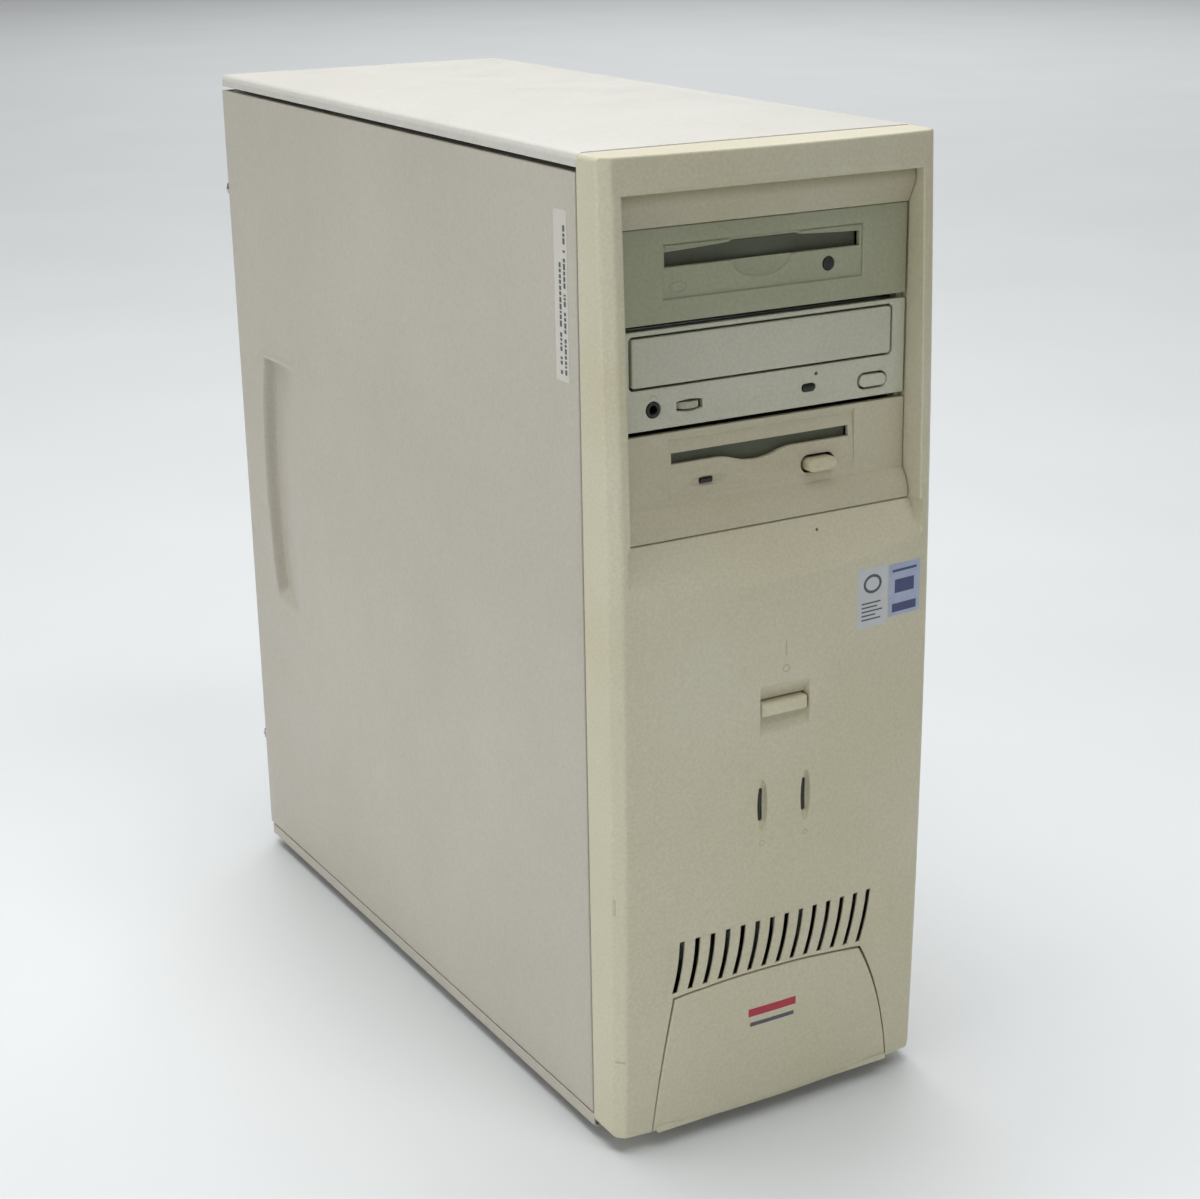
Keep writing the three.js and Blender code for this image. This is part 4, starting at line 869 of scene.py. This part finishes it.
def makeCartridgeDrive():
    c = cartridge
    x0, x1, z0, z1 = c["window"]
    half, low, high = c["slotHalf"], c["slotLow"], c["slotHigh"]
    frameFace = cutout("cartridgeDriveFace",
                       [rectangle(-73.9, 73.9, c["low"], c["high"], 0.8), rectangle(x0, x1, z0, z1, 0.5)],
                       "xz", driveFace, driveFace + 3, 0.45, 3)
    arch = (bend((half, high), (30, 408.6), (18, 409.4), 5) + [(16, 410.2), (-16, 410.2)]
            + bend((-18, 409.4), (-30, 408.6), (-half, high), 5))
    inner = cutout("cartridgePlate",
                   [rectangle(x0 - 0.6, x1 + 0.6, z0 - 0.6, z1 + 0.6), [(-half, low), (half, low)] + arch,
                    circle(*c["button"], 3.1, 24)], "xz", driveFace + 0.9, driveFace + 3.4, 0.3)
    carve(inner, [ball("thumbScoop", (15, 1.5, 8.4), (-1.5, driveFace + 1.0, 401.8))])
    back = driveFrame("cartridgeFrame", c["low"], c["high"], 2.9)
    oval = cutout("raisedOval", [circle(0, 0, 4.6, 40), circle(0, 0, 3.9, 40)], "xz",
                  driveFace + 0.72, driveFace + 1.1, 0.1, 1)
    oval.data.transform(Matrix.Diagonal((1, 1, 0.5, 1)))
    moved(oval, -42.5, 0, 393)
    notch = [oval, block("bridge", (18, driveFace + 0.5, 409.6), (49, driveFace + 1.6, 410.6)),
             block("bridge", (-49, driveFace + 0.5, 409.6), (-18, driveFace + 1.6, 410.6))]
    face = joinUp("cartridgeDriveFace", [frameFace, softenEdges(inner, 0.15, 1, 50), back] + notch)
    smooth(face, 35)
    dress(face, cartridgePlastic, "chassis", ("cartridge_drive_fascia",))
    cap = cutout("cartridgeButtonCap", [circle(*c["button"], 2.8, 32)], "xz", driveFace + 0.5, -6.4, 0.6, 3)
    stem = rod("stem", "y", 1.5, (c["button"][0], -4.4, c["button"][1]), 4.4, 16)
    dress(joinUp("cartridgeButtonCap", [cap, stem]), blackPlastic, "cartridge_eject_button",
          ("cartridge_eject_button",))
    refine("cartridge_slot_door", doorPlastic, "cartridge_slot_door", 0.2)


# Darker tone of the moulded symbols: painted shade that stands in for the shadow in marks moulded into the
# plastic.
markPaintedShade = satinPlastic("mouldedMarkPaintedShade", "#a8a184", "#b1aa8e", 0.55, 2, 0.002)
inkBlue = satinPlastic("printedBlueInk", "#39406a", "#4b5178", 0.45, 2, 0.002)
inkRed = satinPlastic("printedRedInk", "#a3283a", "#b23547", 0.45, 2, 0.002)
scuffDirt = satinPlastic("rubbedGreyDirt", "#a09c88", "#bdb9a4", 0.6, 1.2, 0.01)
stickerFilm = satinPlastic("greyStickerFilm", "#b9bcbd", "#c8cacb", 0.35, 6, 0.002)
silverFilm = brushedMetal("silverBlueStickerFoil", "#8f9bb8", "#c3c9d8", (1, 1, 1), 0.35, 1.5)
makeBezel()
makeLowerPlate()
makeControls()
makeSurround()
makeDiscDrive()
makeCartridgeDrive()
print("front done")


# Access panel with its finger recess.
recess = {"low": 162, "high": 302, "middle": 232, "reach": 70, "back": 355, "bulge": 8, "frontTop": 308,
          "frontLow": 320, "deep": 7.2, "bead": 1.0, "slope": 3}
panel = {"front": 1.5, "back": 391.5, "low": 12.2, "high": 441.9, "sheet": 1.2, "outside": -84}


def panelDepth(y, z):
    r, p = recess, panel
    rear = r["back"] + r["bulge"] * (1 - ((z - r["middle"]) / r["reach"]) ** 2)
    front = r["frontTop"] + (r["frontLow"] - r["frontTop"]) * (r["high"] - z) / (r["high"] - r["low"])
    x = p["outside"]
    if front < y < rear and r["low"] < z < r["high"]:
        ramp = ((y - front) / (rear - front)) ** 1.25
        ends = smoothStep((r["high"] - z) / 1.6) * smoothStep((z - r["low"]) / (3 + 6 * ramp))
        x += r["deep"] * ramp * smoothStep((rear - y) / r["slope"]) * ends
    above = z - r["high"] - 0.4
    if 0 < above < 4 and front < y < rear + 2:
        ends = smoothStep((y - front) / 22) * smoothStep((rear + 2 - y) / 2)
        x -= r["bead"] * math.sin(math.pi * above / 4) * ends
    return x + roundOver(min(y - p["front"], p["back"] - y, z - p["low"], p["high"] - z), 1.1)


def makePanel():
    p = panel
    columns = spread(p["front"], p["back"], 9, [1.6, 1.8, 2.1, 2.6] + [305 + 1.0 * i for i in range(45)]
                     + [350 + 0.5 * i for i in range(32)] + [390.4, 390.9, 391.2, 391.4])
    rows = spread(p["low"], p["high"], 7, [12.3, 12.5, 12.8, 13.3] + [158 + 0.7 * i for i in range(26)]
                  + [178 + 3 * i for i in range(40)] + [297 + 0.5 * i for i in range(22)]
                  + [440.8, 441.3, 441.6, 441.8])
    skin = gridSkin("panelSkin", columns, rows, lambda y, z: (panelDepth(y, z), y, z))
    skin = thicken(skin, (p["sheet"], 0, 0))
    inner = -76.5
    flanges = [
        block("topFold", (-82.9, 6, p["high"] - p["sheet"]), (inner, 382, p["high"])),
        block("lowFold", (-82.9, 6, p["low"]), (inner, 382, p["low"] + p["sheet"])),
        block("frontFold", (-83, 1.55, 18.2), (-82, 2.7, 436)),
        cutout("backFold", [rectangle(-83, -73.2, p["low"], p["high"], 1.5),
                            circle(-78.6, 67.3, 2.4), circle(-78.6, 388.5, 2.4)], "xz", 390.3, 391.5, 0.3)]
    whole = joinUp("sidePanelSheet", [skin] + flanges)
    smooth(whole, 35)
    dress(whole, panelPaint, "access_panel", ("access_panel",))

    out = p["outside"]
    label = cutout("specLabel", [rectangle(9, 20, 354, 425.5, 0.8)], "yz", out - 0.12, out + 0.1, 0.03, 1)
    dress(label, specFilm, "access_panel")
    lines = []
    for y, end in ((14.3, 402), (10.6, 419)):
        start = 357
        while start < end:
            long = random.uniform(0.8, 2.6)
            lines.append(block("labelStroke", (out - 0.17, y, start), (out, y + 1.7, start + long)))
            start += long + random.choice((0.6, 0.6, 0.8, 2.4))
    dress(joinUp("specLabelPrint", lines), inkDark, "access_panel")


# Steel case.
def makeCase():
    # The top cover takes the paler copy of the panel paint, its extra paleness painted light on the top.
    refine("top_cover", paleLitCoverPaint, edge=0.5, degrees=20)
    refine("base_pan", panelPaint, edge=0.3, degrees=20)
    refine("right_side_panel", panelPaint, edge=0.5)
    for node in ("rear_panel", "board_tray", "front_chassis_plate", "drive_cage", "hard_disk_cradle",
                 "optical_drive_case", "cartridge_drive_case", "floppy_drive_case", "power_supply_case",
                 "slot_cover_1", "slot_cover_2", "graphics_card_bracket"):
        refine(node, zincSheet, edge=0.18)
    for node in ("thumbscrew_lower", "thumbscrew_upper"):
        refine(node, turnedSteel, node, 0.25)
    for node in ("foot_front_left", "foot_front_right", "foot_rear_left", "foot_rear_right"):
        refine(node, footRubber, edge=0.8)
    ribs = [cutout("sideRib", [rectangle(25, 365, 60 + i * 165, 66 + i * 165, 2.9)], "yz", 80.2, 81.0, 0.35)
            for i in range(3)]
    dress(joinUp("trayRibs", ribs), zincSheet, "chassis")


# A pan head screw with a cross recess, its head towards one side.
def screwHead(name, place, axis, radius=3.0, high=1.8):
    head = rod(name, "z", radius, (0, 0, 0), high, 24)
    head.data.transform(Matrix.Translation(-at(0, 0, 0)))
    openMesh(head, "DESELECT")
    closeMesh()
    for edge in head.data.edges:
        edge.select = all(head.data.vertices[v].co.z > 0 for v in edge.vertices)
    bpy.ops.object.mode_set(mode="EDIT")
    bpy.ops.mesh.bevel(offset=high * 0.45 * mm, segments=3)
    bpy.ops.object.mode_set(mode="OBJECT")
    cross = []
    for turn in (0, quarter):
        bpy.ops.mesh.primitive_cube_add(size=1, location=(0, 0, high * 0.45 * mm), rotation=(0, 0, turn))
        bar = bpy.context.object
        bar.scale = (radius * 1.1 * mm, radius * 0.24 * mm, high * 0.9 * mm)
        cross.append(settle(bar))
    carve(head, cross)
    head.rotation_euler = {"-x": (0, -quarter, 0), "+y": (-quarter, 0, 0)}[axis]
    head.location = at(*place)
    return smooth(settle(head), 35)


slots = {"first": 104, "pitch": 20.32, "count": 3}   # expansion slots, from the lowest one up


def makeScrews():
    masters = {}

    def put(place, axis, radius=3.0):
        key = (axis, radius)
        if key not in masters:
            masters[key] = (screwHead("screwMaster", place, axis, radius), Vector(place))
        first, home = masters[key]
        return moved(copyOf(first, "screwCopy"), *(Vector(place) - home))

    rear = [put((x, 390.9, z), "+y") for x in (-68, 74) for z in (30, 180, 344)]
    rear += [put((x, 390.9, z), "+y") for x, z in ((-62, 430), (68, 430), (68, 358), (-62, 358))]
    rear += [put((-39, 388.9, slots["first"] + i * slots["pitch"]), "+y", 2.6) for i in range(slots["count"])]
    dress(joinUp("rearScrews", rear), turnedSteel, "chassis")
    cage = [put((-75.9, y, z), "-x", 2.6) for y in (40, 94, 148) for z in (337.5, 369.5, 381, 413)]
    cage += [put((-75.9, y, 302.5), "-x", 2.6) for y in (40, 130)]
    dress(joinUp("cageScrews", cage), turnedSteel, "chassis")
    tray = [put((75.1, y, z), "-x", 2.6) for y in (150, 376) for z in (100, 215, 330)]
    dress(joinUp("boardScrews", tray), turnedSteel, "chassis")
    for first, _ in masters.values():
        bpy.data.objects.remove(first)


# Rear: power supply, fan, inlet and ports.
supply = {"fanX": -25, "fanZ": 395, "back": 388.5, "ringRadii": (8, 16, 24, 32), "wire": 0.75,
          "eyeReach": 49.5}


def makeSupply():
    s = supply
    y = s["back"] + 1.2
    rings = []
    for radius in s["ringRadii"]:
        rings.append(wireRing(radius, s["wire"], (s["fanX"], y, s["fanZ"]), turns["y"], 64, 10))
    for corner in range(4):
        angle = math.pi / 4 + corner * quarter
        across, up = math.cos(angle), math.sin(angle)
        middle = at(s["fanX"] + 27 * across, y - 0.1, s["fanZ"] + 27 * up)
        bpy.ops.mesh.primitive_cylinder_add(vertices=12, radius=0.8 * mm, depth=38 * mm, location=middle,
                                            rotation=(0, quarter - angle, 0))
        rings.append(settle(bpy.context.object))
        eye = (s["fanX"] + s["eyeReach"] * across * 0.99, y, s["fanZ"] + s["eyeReach"] * up * 0.86)
        rings.append(wireRing(3.2, s["wire"], eye, turns["y"]))
    guard = smooth(joinUp("fanGuardWire", rings), 60)
    dress(guard, turnedSteel, "chassis", ("fan_guard",))
    refine("power_supply_fan", blackPlastic, "power_supply_fan", 0.35)
    hub = cutout("fanHubLabel", [circle(s["fanX"], s["fanZ"], 12, 40)], "xz",
                 s["back"] - 5.05, s["back"] - 4.9, 0.02, 1)
    dress(hub, labelPaper, "power_supply_fan")
    refine("mains_inlet", blackPlastic, edge=0.4)
    refine("voltage_selector", redPlastic, "voltage_selector", 0.3)
    rating = cutout("ratingLabel", [rectangle(-64, -6, 260, 340, 2)], "xy", 437.9, 438.05, 0.02, 1)
    dress(rating, labelPaper, "chassis")


# A shell with one long side shorter than the other, and its insert with pin holes.
def dShell(x, z, long, wide, y0, y1, rows, count):
    left, right, low, high = x - wide / 2, x + wide / 2, z - long / 2, z + long / 2
    outline = [(left, low + 1.5), (left, high - 1.5), (right, high), (right, low)]
    inner = [(left + 0.7, low + 2.4), (left + 0.7, high - 2.4), (right - 0.7, high - 1.0),
             (right - 0.7, low + 1.0)]
    holes = []
    for row in range(rows):
        number = count - row
        for i in range(number):
            holes.append(circle(x - (rows - 1) * 1.4 + row * 2.8, z + (i - (number - 1) / 2) * 2.77, 0.6, 10))
    return (cutout("portShell", [outline, inner], "xz", y0, y1, 0.25),
            cutout("portInsert", [inner] + holes, "xz", y0, y1 - 0.7, 0.1))


rearPorts = {"x": 62, "roundZ": (309.5, 323.5), "usbZ": (284, 293),
             "pins": (0.5, 1.2, 1.95, 2.65, 3.9, 5.5),   # angles of the six pins, in radians
             "dShells": ((65, 244.5, 39, 2, 13), (45.5, 232, 17, 2, 5), (45.5, 258, 17, 2, 5))}


def makePorts():
    portX = rearPorts["x"]
    shells, inserts, dark, nuts = [], [], [], []
    for x, z, long, rows, count in rearPorts["dShells"]:
        a, b = dShell(x, z, long, 8.6, 387, 394, rows, count)
        shells.append(a)
        inserts.append(b)
        for s in (-1, 1):
            nutZ = z + s * (long / 2 + 4.4)
            nuts.append(cutout("hexNut", [circle(x, nutZ, 2.6, 6), circle(x, nutZ, 1.3, 16)], "xz",
                               389, 394, 0.3))
    for z in rearPorts["roundZ"]:
        shells.append(cutout("roundPort", [circle(portX, z, 6.2, 36), circle(portX, z, 5.0, 36)], "xz",
                             384, 391.8, 0.3))
        pins = [circle(portX + 3.0 * math.cos(a), z + 3.0 * math.sin(a), 0.55, 8) for a in rearPorts["pins"]]
        inserts.append(cutout("roundInsert", [circle(portX, z, 4.9, 36)] + pins, "xz", 382, 388, 0.1))
    for z in rearPorts["usbZ"]:
        shells.append(cutout("usbFrame", [rectangle(58, 71, z - 3, z + 3, 0.8),
                                          rectangle(58.7, 70.3, z - 2.3, z + 2.3, 0.5)], "xz",
                             382, 391.4, 0.2))
        dark.append(block("usbTongue", (60, 381, z + 0.2), (69, 390, z + 1.6)))
    shells.append(cutout("netFrame", [rectangle(57.5, 73.2, 194, 210, 0.8),
                                      rectangle(59.6, 71.2, 197.5, 206.5, 0.4)], "xz", 372, 391.3, 0.3))
    inserts.append(block("netBack", (59, 376, 197), (71.8, 378, 207)))
    openings = [rectangle(60.0, 70.0, 224.0, 265.0, 1.5), rectangle(40.5, 50.5, 222.5, 241.5, 1.5),
                rectangle(40.5, 50.5, 248.5, 267.5, 1.5)]
    openings += [circle(portX, z, 6.5) for z in rearPorts["roundZ"]]
    openings += [rectangle(57.6, 71.4, 280.6, 296.4, 1), rectangle(57.1, 73.6, 193.6, 210.4, 1)]
    edge = rectangle(31, 74.9, 189, 335, 1)   # a little wider than the opening in the rear panel
    shield = cutout("portShield", [edge] + openings, "xz", 387.7, 388.6, 0.15, 1)
    dress(shield, turnedSteel, "chassis")
    base = [block("portBase", (67.1, 368, 192), (75.1, 386, 332)),
            block("portRiser", (38, 372, 214), (70, 386.9, 275)),
            block("portRiser", (54, 372, 278), (70, 381.8, 331))]
    dress(joinUp("portShells", shells), turnedSteel, "chassis", ("rear_port_block",))
    dress(joinUp("portInserts", inserts), blackPlastic, "chassis")
    dress(joinUp("portTongues", dark), ivoryPlastic, "chassis")
    dress(joinUp("portNuts", nuts), turnedSteel, "chassis")
    solid = softenEdges(joinUp("portBodies", base), 0.4)
    dress(solid, blackPlastic, "chassis")


specFilm = satinPlastic("paleGreyLabelFilm", "#c6c3b9", "#cecbc1", 0.4, 8, 0.003)
labelPaper = satinPlastic("coatedLabelPaper", "#c6c6c0", "#d2d1cb", 0.5, 8, 0.003)
makePanel()
makeCase()
makeScrews()
makeSupply()
makePorts()
print("case done")


# Main board and what stands on it.
boardFace = 75.4
memory = {"sockets": (176, 188), "chips": 8, "lowest": 112, "pitch": 15.5}
legged = ((300, 328, 168, 196), (338, 352, 100, 118), (150, 160, 120, 136), (150, 160, 150, 166))


def chip(y0, y1, z0, z1, high=1.9):
    return cutout("chip", [rectangle(y0, y1, z0, z1, 0.4, 2)], "yz", boardFace - high, boardFace, 0.25, 1)


def legs(y0, y1, z0, z1, pitch=1.6):
    rows = []
    count = int((z1 - z0 - 2) / pitch)
    for i in range(count):
        z = z0 + 1 + i * pitch
        rows.append(block("leg", (boardFace - 0.5, y0 - 1.2, z), (boardFace, y1 + 1.2, z + 0.6)))
    return rows


def makeBoard():
    refine("main_board", boardGreen, edge=0)
    chips = [chip(200, 235, 100, 135, 2.2), chip(*legged[0], 2.2), chip(346, 358, 162, 176, 3)]
    chips += [chip(*outline) for outline in legged[1:]] + [chip(205, 213, 168, 182)]
    pins = [leg for outline in legged for leg in legs(*outline)]
    small = []
    for i in range(46):
        y, z = random.uniform(148, 372), random.uniform(96, 332)
        if 196 < y < 262 and z > 96 or 258 < y < 350 and z < 156 or y > 360:
            continue
        wide, tall = random.choice(((1.4, 2.6), (2.6, 1.4), (3.4, 1.8)))
        small.append(block("smallPart", (boardFace - 1.1, y, z), (boardFace, y + wide, z + tall)))
    dress(joinUp("boardChips", chips), chipResin, "chassis")
    dress(joinUp("chipPins", pins), turnedSteel, "chassis")
    dress(softenEdges(joinUp("smallParts", small), 0.15, 1), brownPlastic, "chassis")

    cans, tops = [], []
    sizes = [(241, 196 + i * 21, 4.2, 11) for i in range(7)] + [(254, 206 + i * 32, 3.2, 9) for i in range(4)]
    sizes += [(366, 110, 4, 10), (366, 122, 4, 10), (352, 190, 3.2, 8)]
    for y, z, radius, high in sizes:
        can = rod("can", "x", radius, (boardFace - high / 2, y, z), high, 28)
        cans.append(softenEdges(can, 0.5, 2, 50))
        tops.append(cutout("canTop", [circle(y, z, radius - 0.7, 24)], "yz",
                           boardFace - high - 0.06, boardFace - high + 0.2, 0.02, 1))
    dress(joinUp("capacitorCans", cans), blueSleeve, "chassis")
    dress(joinUp("capacitorTops", tops), castAlloy, "chassis")

    cell = cutout("coinCell", [circle(330, 214, 10, 48)], "yz", boardFace - 4.4, boardFace - 1.4, 0.4)
    holder = cutout("cellHolder", [circle(330, 214, 12, 40), circle(330, 214, 10.3, 40)], "yz",
                    boardFace - 3, boardFace, 0.3)
    clip = block("cellClip", (boardFace - 5, 317, 212.5), (boardFace - 4.5, 332, 215.5))
    dress(joinUp("cellAndClip", [cell, clip]), turnedSteel, "chassis")
    dress(holder, blackPlastic, "chassis")

    sockets = []
    for y in (177.8, 189.8):
        sockets.append(cutout("memorySocket", [rectangle(y - 4, y + 4, 99, 246, 1)], "yz",
                              70.2, boardFace, 0.4))
        for z in (98, 247):
            sockets.append(cutout("memoryLatch", [rectangle(y - 3.4, y + 3.4, z - 3, z + 3, 1)], "yz",
                                  58, 71, 0.8))
    headers = [cutout("leadHeader",
                      [rectangle(202, 209, 148, 202, 0.6), rectangle(203.2, 207.8, 149.5, 200.5)],
                      "yz", 70.5, boardFace, 0.3),
               cutout("leadPlug", [rectangle(201.8, 209.2, 149, 201, 0.8)], "yz", 62.5, 70.2, 0.5),
               cutout("drivePlug", [rectangle(12.5, 65.5, 347.5, 357, 0.8)], "xz", 186.2, 192.5, 0.5)]
    dress(joinUp("memorySockets", sockets), ivoryPlastic, "chassis")
    dress(joinUp("ribbonPlugs", headers), blackPlastic, "chassis")
    power = [cutout("powerHeader", [rectangle(207, 220, 226, 278, 1)], "yz", 62, boardFace, 0.5)]
    power += [block("powerKey", (60.5, 209 + k * 5.4, 229 + i * 4.6), (62.4, 212.4 + k * 5.4, 232 + i * 4.6))
              for i in range(10) for k in range(2)]
    dress(joinUp("powerSocket", power), ivoryPlastic, "chassis")


def makeModules():
    for index, y in enumerate(memory["sockets"]):
        node = "memory_module_%d" % (index + 1)
        refine(node, cardGreen, edge=0)
        parts = []
        for side in (-1, 1):
            face = y if side < 0 else y + 3.6
            for i in range(memory["chips"]):
                z = memory["lowest"] + i * memory["pitch"]
                low, high = (face - 1.0, face) if side < 0 else (face, face + 1.0)
                parts.append(cutout("memoryChip", [rectangle(45, 63, z, z + 9.6, 0.3, 2)], "xz",
                                    low, high, 0.2, 1))
        dress(joinUp("memoryChips%d" % (index + 1), parts), chipResin, "chassis")
    refine("processor_cartridge", blackPlastic, edge=0.9)
    refine("processor_slot", blackPlastic, edge=0.4)
    refine("processor_heatsink", extrudedAlloy, edge=0.25)
    label = cutout("cartridgeLabel", [rectangle(12, 52, 236, 286, 1.5)], "xz", 218.85, 219.1, 0.03, 1)
    dress(label, silverFilm, "chassis")
    for index in (1, 2):
        refine("expansion_slot_%d" % index, ivoryPlastic, edge=0.35)
    refine("expansion_slot_3", brownPlastic, edge=0.35)
    for i in range(slots["count"]):
        z = slots["first"] + i * slots["pitch"]
        teeth = [block("slotContact", (64.3, y, z + s * 1.25 - 0.3), (66, y + 1.2, z + s * 1.25 + 0.3))
                 for y in (268 + k * 2.54 for k in range(29)) for s in (-1, 1)]
        dress(joinUp("slotContacts%d" % i, teeth), goldPlate, "chassis")

    refine("graphics_card", cardGreen, edge=0)
    z = slots["first"] + 2 * slots["pitch"]
    top = z + 0.8
    chips = [cutout("cardChip", [rectangle(x, x + 14, y, y + 20, 0.4, 2)], "xy", top, top + 1.4, 0.25, 1)
             for x, y in ((-12, 232), (8, 232), (-12, 262), (36, 232))]
    dress(joinUp("cardChips", chips), chipResin, "chassis")
    fins = [block("finBase", (6, 286, top), (44, 324, top + 2.4))]
    fins += [block("fin", (6 + i * 4.6, 286, top + 2), (7.2 + i * 4.6, 324, top + 9)) for i in range(9)]
    dress(softenEdges(joinUp("cardHeatsink", fins), 0.2, 1), extrudedAlloy, "chassis")
    fingers = [block("cardFinger", (62.6, y, top - 1.85), (70.6, y + 1.2, top + 0.06))
               for y in (269.5 + k * 1.9 for k in range(37))]
    dress(joinUp("cardFingers", fingers), goldPlate, "chassis")
    outer = [(8, z + 4), (10, z - 4), (33, z - 4), (35, z + 4)]
    inner = [(9.2, z + 3.3), (10.6, z - 3.3), (32.4, z - 3.3), (33.8, z + 3.3)]
    holes = [circle(13.5 + i * 4, z + row * 2, 0.6, 10) for i in range(5) for row in (-1, 0, 1)]
    shell = cutout("screenPortShell", [outer, inner], "xz", 384, 391.6, 0.25)
    insert = cutout("screenPortInsert", [inner] + holes, "xz", 383, 390.6, 0.1)
    dress(shell, turnedSteel, "chassis")
    dress(insert, bluePlastic, "chassis")


# Leads, hard disk and speaker.
def makeLeads():
    ribbon, shader, coordinates = newMaterial("greyFlatRibbonPvc")
    stripes = addNode(ribbon, "ShaderNodeTexWave", {"Scale": 1 / (1.27 * mm) / 3.14159, "Distortion": 0.0,
                                                   "bands_direction": "X"}, {"Vector": coordinates})
    tone = mix(ribbon, stripes.outputs["Fac"], "#8f8f8b", "#b9b9b4")
    place = addNode(ribbon, "ShaderNodeSeparateXYZ", links={"Vector": coordinates}).outputs["X"]
    edgeWire = addNode(ribbon, "ShaderNodeMath", {"operation": "LESS_THAN", 1: 0.0154}, {0: place}).outputs[0]
    tone = mix(ribbon, edgeWire, tone, "#a03434")
    feed(ribbon, shader, "Base Color", tone)
    shader.inputs["Roughness"].default_value = 0.55
    bump(ribbon, shader, stripes.outputs["Fac"], 0.25, 0.8)
    refine("drive_ribbon_cable", ribbon, edge=0.2, degrees=50)

    route = [(-40, 248, 364), (-41, 240, 363), (-44, 224, 352), (-42, 216, 330), (-30, 211, 300),
             (-8, 210, 272), (14, 211, 258), (40, 212, 250), (60, 214, 252)]
    colors = [("yellow", "#c9a21f"), ("red", "#a32020"), ("black", "#1b1b1b"), ("orange", "#c0641c"),
              ("green", "#2c6a35"), ("white", "#c9c6bc")]
    for index, (word, code) in enumerate(colors):
        wires = []
        for copy in range(2):
            curve = bpy.data.curves.new("wire", "CURVE")
            curve.dimensions = "3D"
            curve.bevel_depth = 0.85 * mm
            curve.bevel_resolution = 2
            curve.resolution_u = 8
            spline = curve.splines.new("NURBS")
            spline.points.add(len(route) - 1)
            spline.use_endpoint_u = True
            spline.order_u = 4
            for step, (x, y, z) in enumerate(route):
                angle = (index * 2 + copy) / 12 * 2 * math.pi + step * 0.35
                reach = 2.7 if copy else 2.4
                across, up = reach * math.cos(angle), reach * math.sin(angle)
                spline.points[step].co = (*at(x + across * 0.8, y + up * 0.6, z + across * 0.6), 1)
            only(newObject("wire", curve))
            bpy.ops.object.convert(target="MESH")
            wires.append(bpy.context.object)
        bundle = smooth(mend(joinUp(word + "Wires", wires), 0.001), 60)
        sleeve = satinPlastic(word + "WirePvc", code, code, 0.4, 1.0)
        dress(bundle, sleeve, "chassis", ("power_harness",) if index == 0 else ())
    ties = []
    for x, y, z, tilt in ((-43, 219, 339, 1.45), (-19, 210.5, 285, 0.7), (27, 211.5, 254, 0.2)):
        ties.append(wireRing(4.1, 0.6, (x, y, z), (0, quarter + tilt, 0), 28))
    dress(joinUp("leadTies", ties), blackPlastic, "chassis")


def makeDisk():
    refine("hard_disk", castAlloy, edge=0.6)
    label = cutout("diskLabel", [rectangle(-44, 44, 40, 130, 2)], "xy", 290.55, 290.72, 0.03, 1)
    dress(label, labelPaper, "chassis")
    lines = [cutout("diskLabelLine", [rectangle(-38, -38 + width, 56 + i * 9, 58 + i * 9)], "xy",
                    290.6, 290.78, 0.0) for i, width in enumerate((50, 62, 40, 55, 66, 48))]
    dress(joinUp("diskLabelPrint", lines), inkDark, "chassis")
    refine("chassis_speaker", blackPlastic, edge=0.5)
    refine("power_switch", blackPlastic, edge=0.4)


blueSleeve = satinPlastic("darkBlueCapacitorSleeve", "#1c2a4a", "#243457", 0.35, 2)
makeBoard()
makeModules()
makeLeads()
makeDisk()
print("inside done")


# Plain studio. A light's values are its place, size, watts, target and cone in degrees, in metres.
studioLights = {
    "keySoftbox": ((-0.2, 0.35, 3.0), 2.0, 72, (0.0, 0.0, 0.2), 180),
    "sideFill": ((-2.3, -0.3, 0.45), 1.2, 20, (0, 0, 0.2), 180),
    "lowFrontFill": ((0.1, -1.3, 0.45), 0.4, 0.15, (0, -0.18, 0.0), 50),
    "topFrontSoftbox": ((0.3, -1.4, 2.6), 0.8, 13, (0, -0.1, 0.3), 180),
    "backgroundLight": ((3.0, 4.5, 3.6), 4.5, 150, (2.6, 4.6, 0), 180),
}
surroundings = {"color": "#f4f5f7", "strength": 0.22}


def makeStudio():
    floorColor, floorShader, coordinates = newMaterial("paintedStudioFloor")
    cloud = noise(floorColor, coordinates, 300, 2)
    feed(floorColor, floorShader, "Base Color", mix(floorColor, cloud, "#d4d7d8", "#dcdfe0"))
    floorShader.inputs["Roughness"].default_value = 0.6
    bpy.ops.mesh.primitive_plane_add(size=60, location=(0, 0, 0))
    floor = bpy.context.object
    floor.name = "studioFloor"
    floor.data.materials.append(floorColor)

    for name, (place, size, watts, target, cone) in studioLights.items():
        data = bpy.data.lights.new(name, "AREA")
        data.spread = math.radians(cone)
        data.size = size
        data.energy = watts
        lamp = newObject(name, data)
        lamp.location = place
        lamp.rotation_euler = (Vector(target) - Vector(place)).to_track_quat("-Z", "Y").to_euler()
    world = bpy.data.worlds.new("paleSurroundings")
    world.use_nodes = True
    glow = world.node_tree.nodes["Background"]
    glow.inputs["Color"].default_value = linear(surroundings["color"])
    glow.inputs["Strength"].default_value = surroundings["strength"]
    bpy.context.scene.world = world
    bpy.context.scene.view_settings.view_transform = "Standard"


makeStudio()
print("scene done")
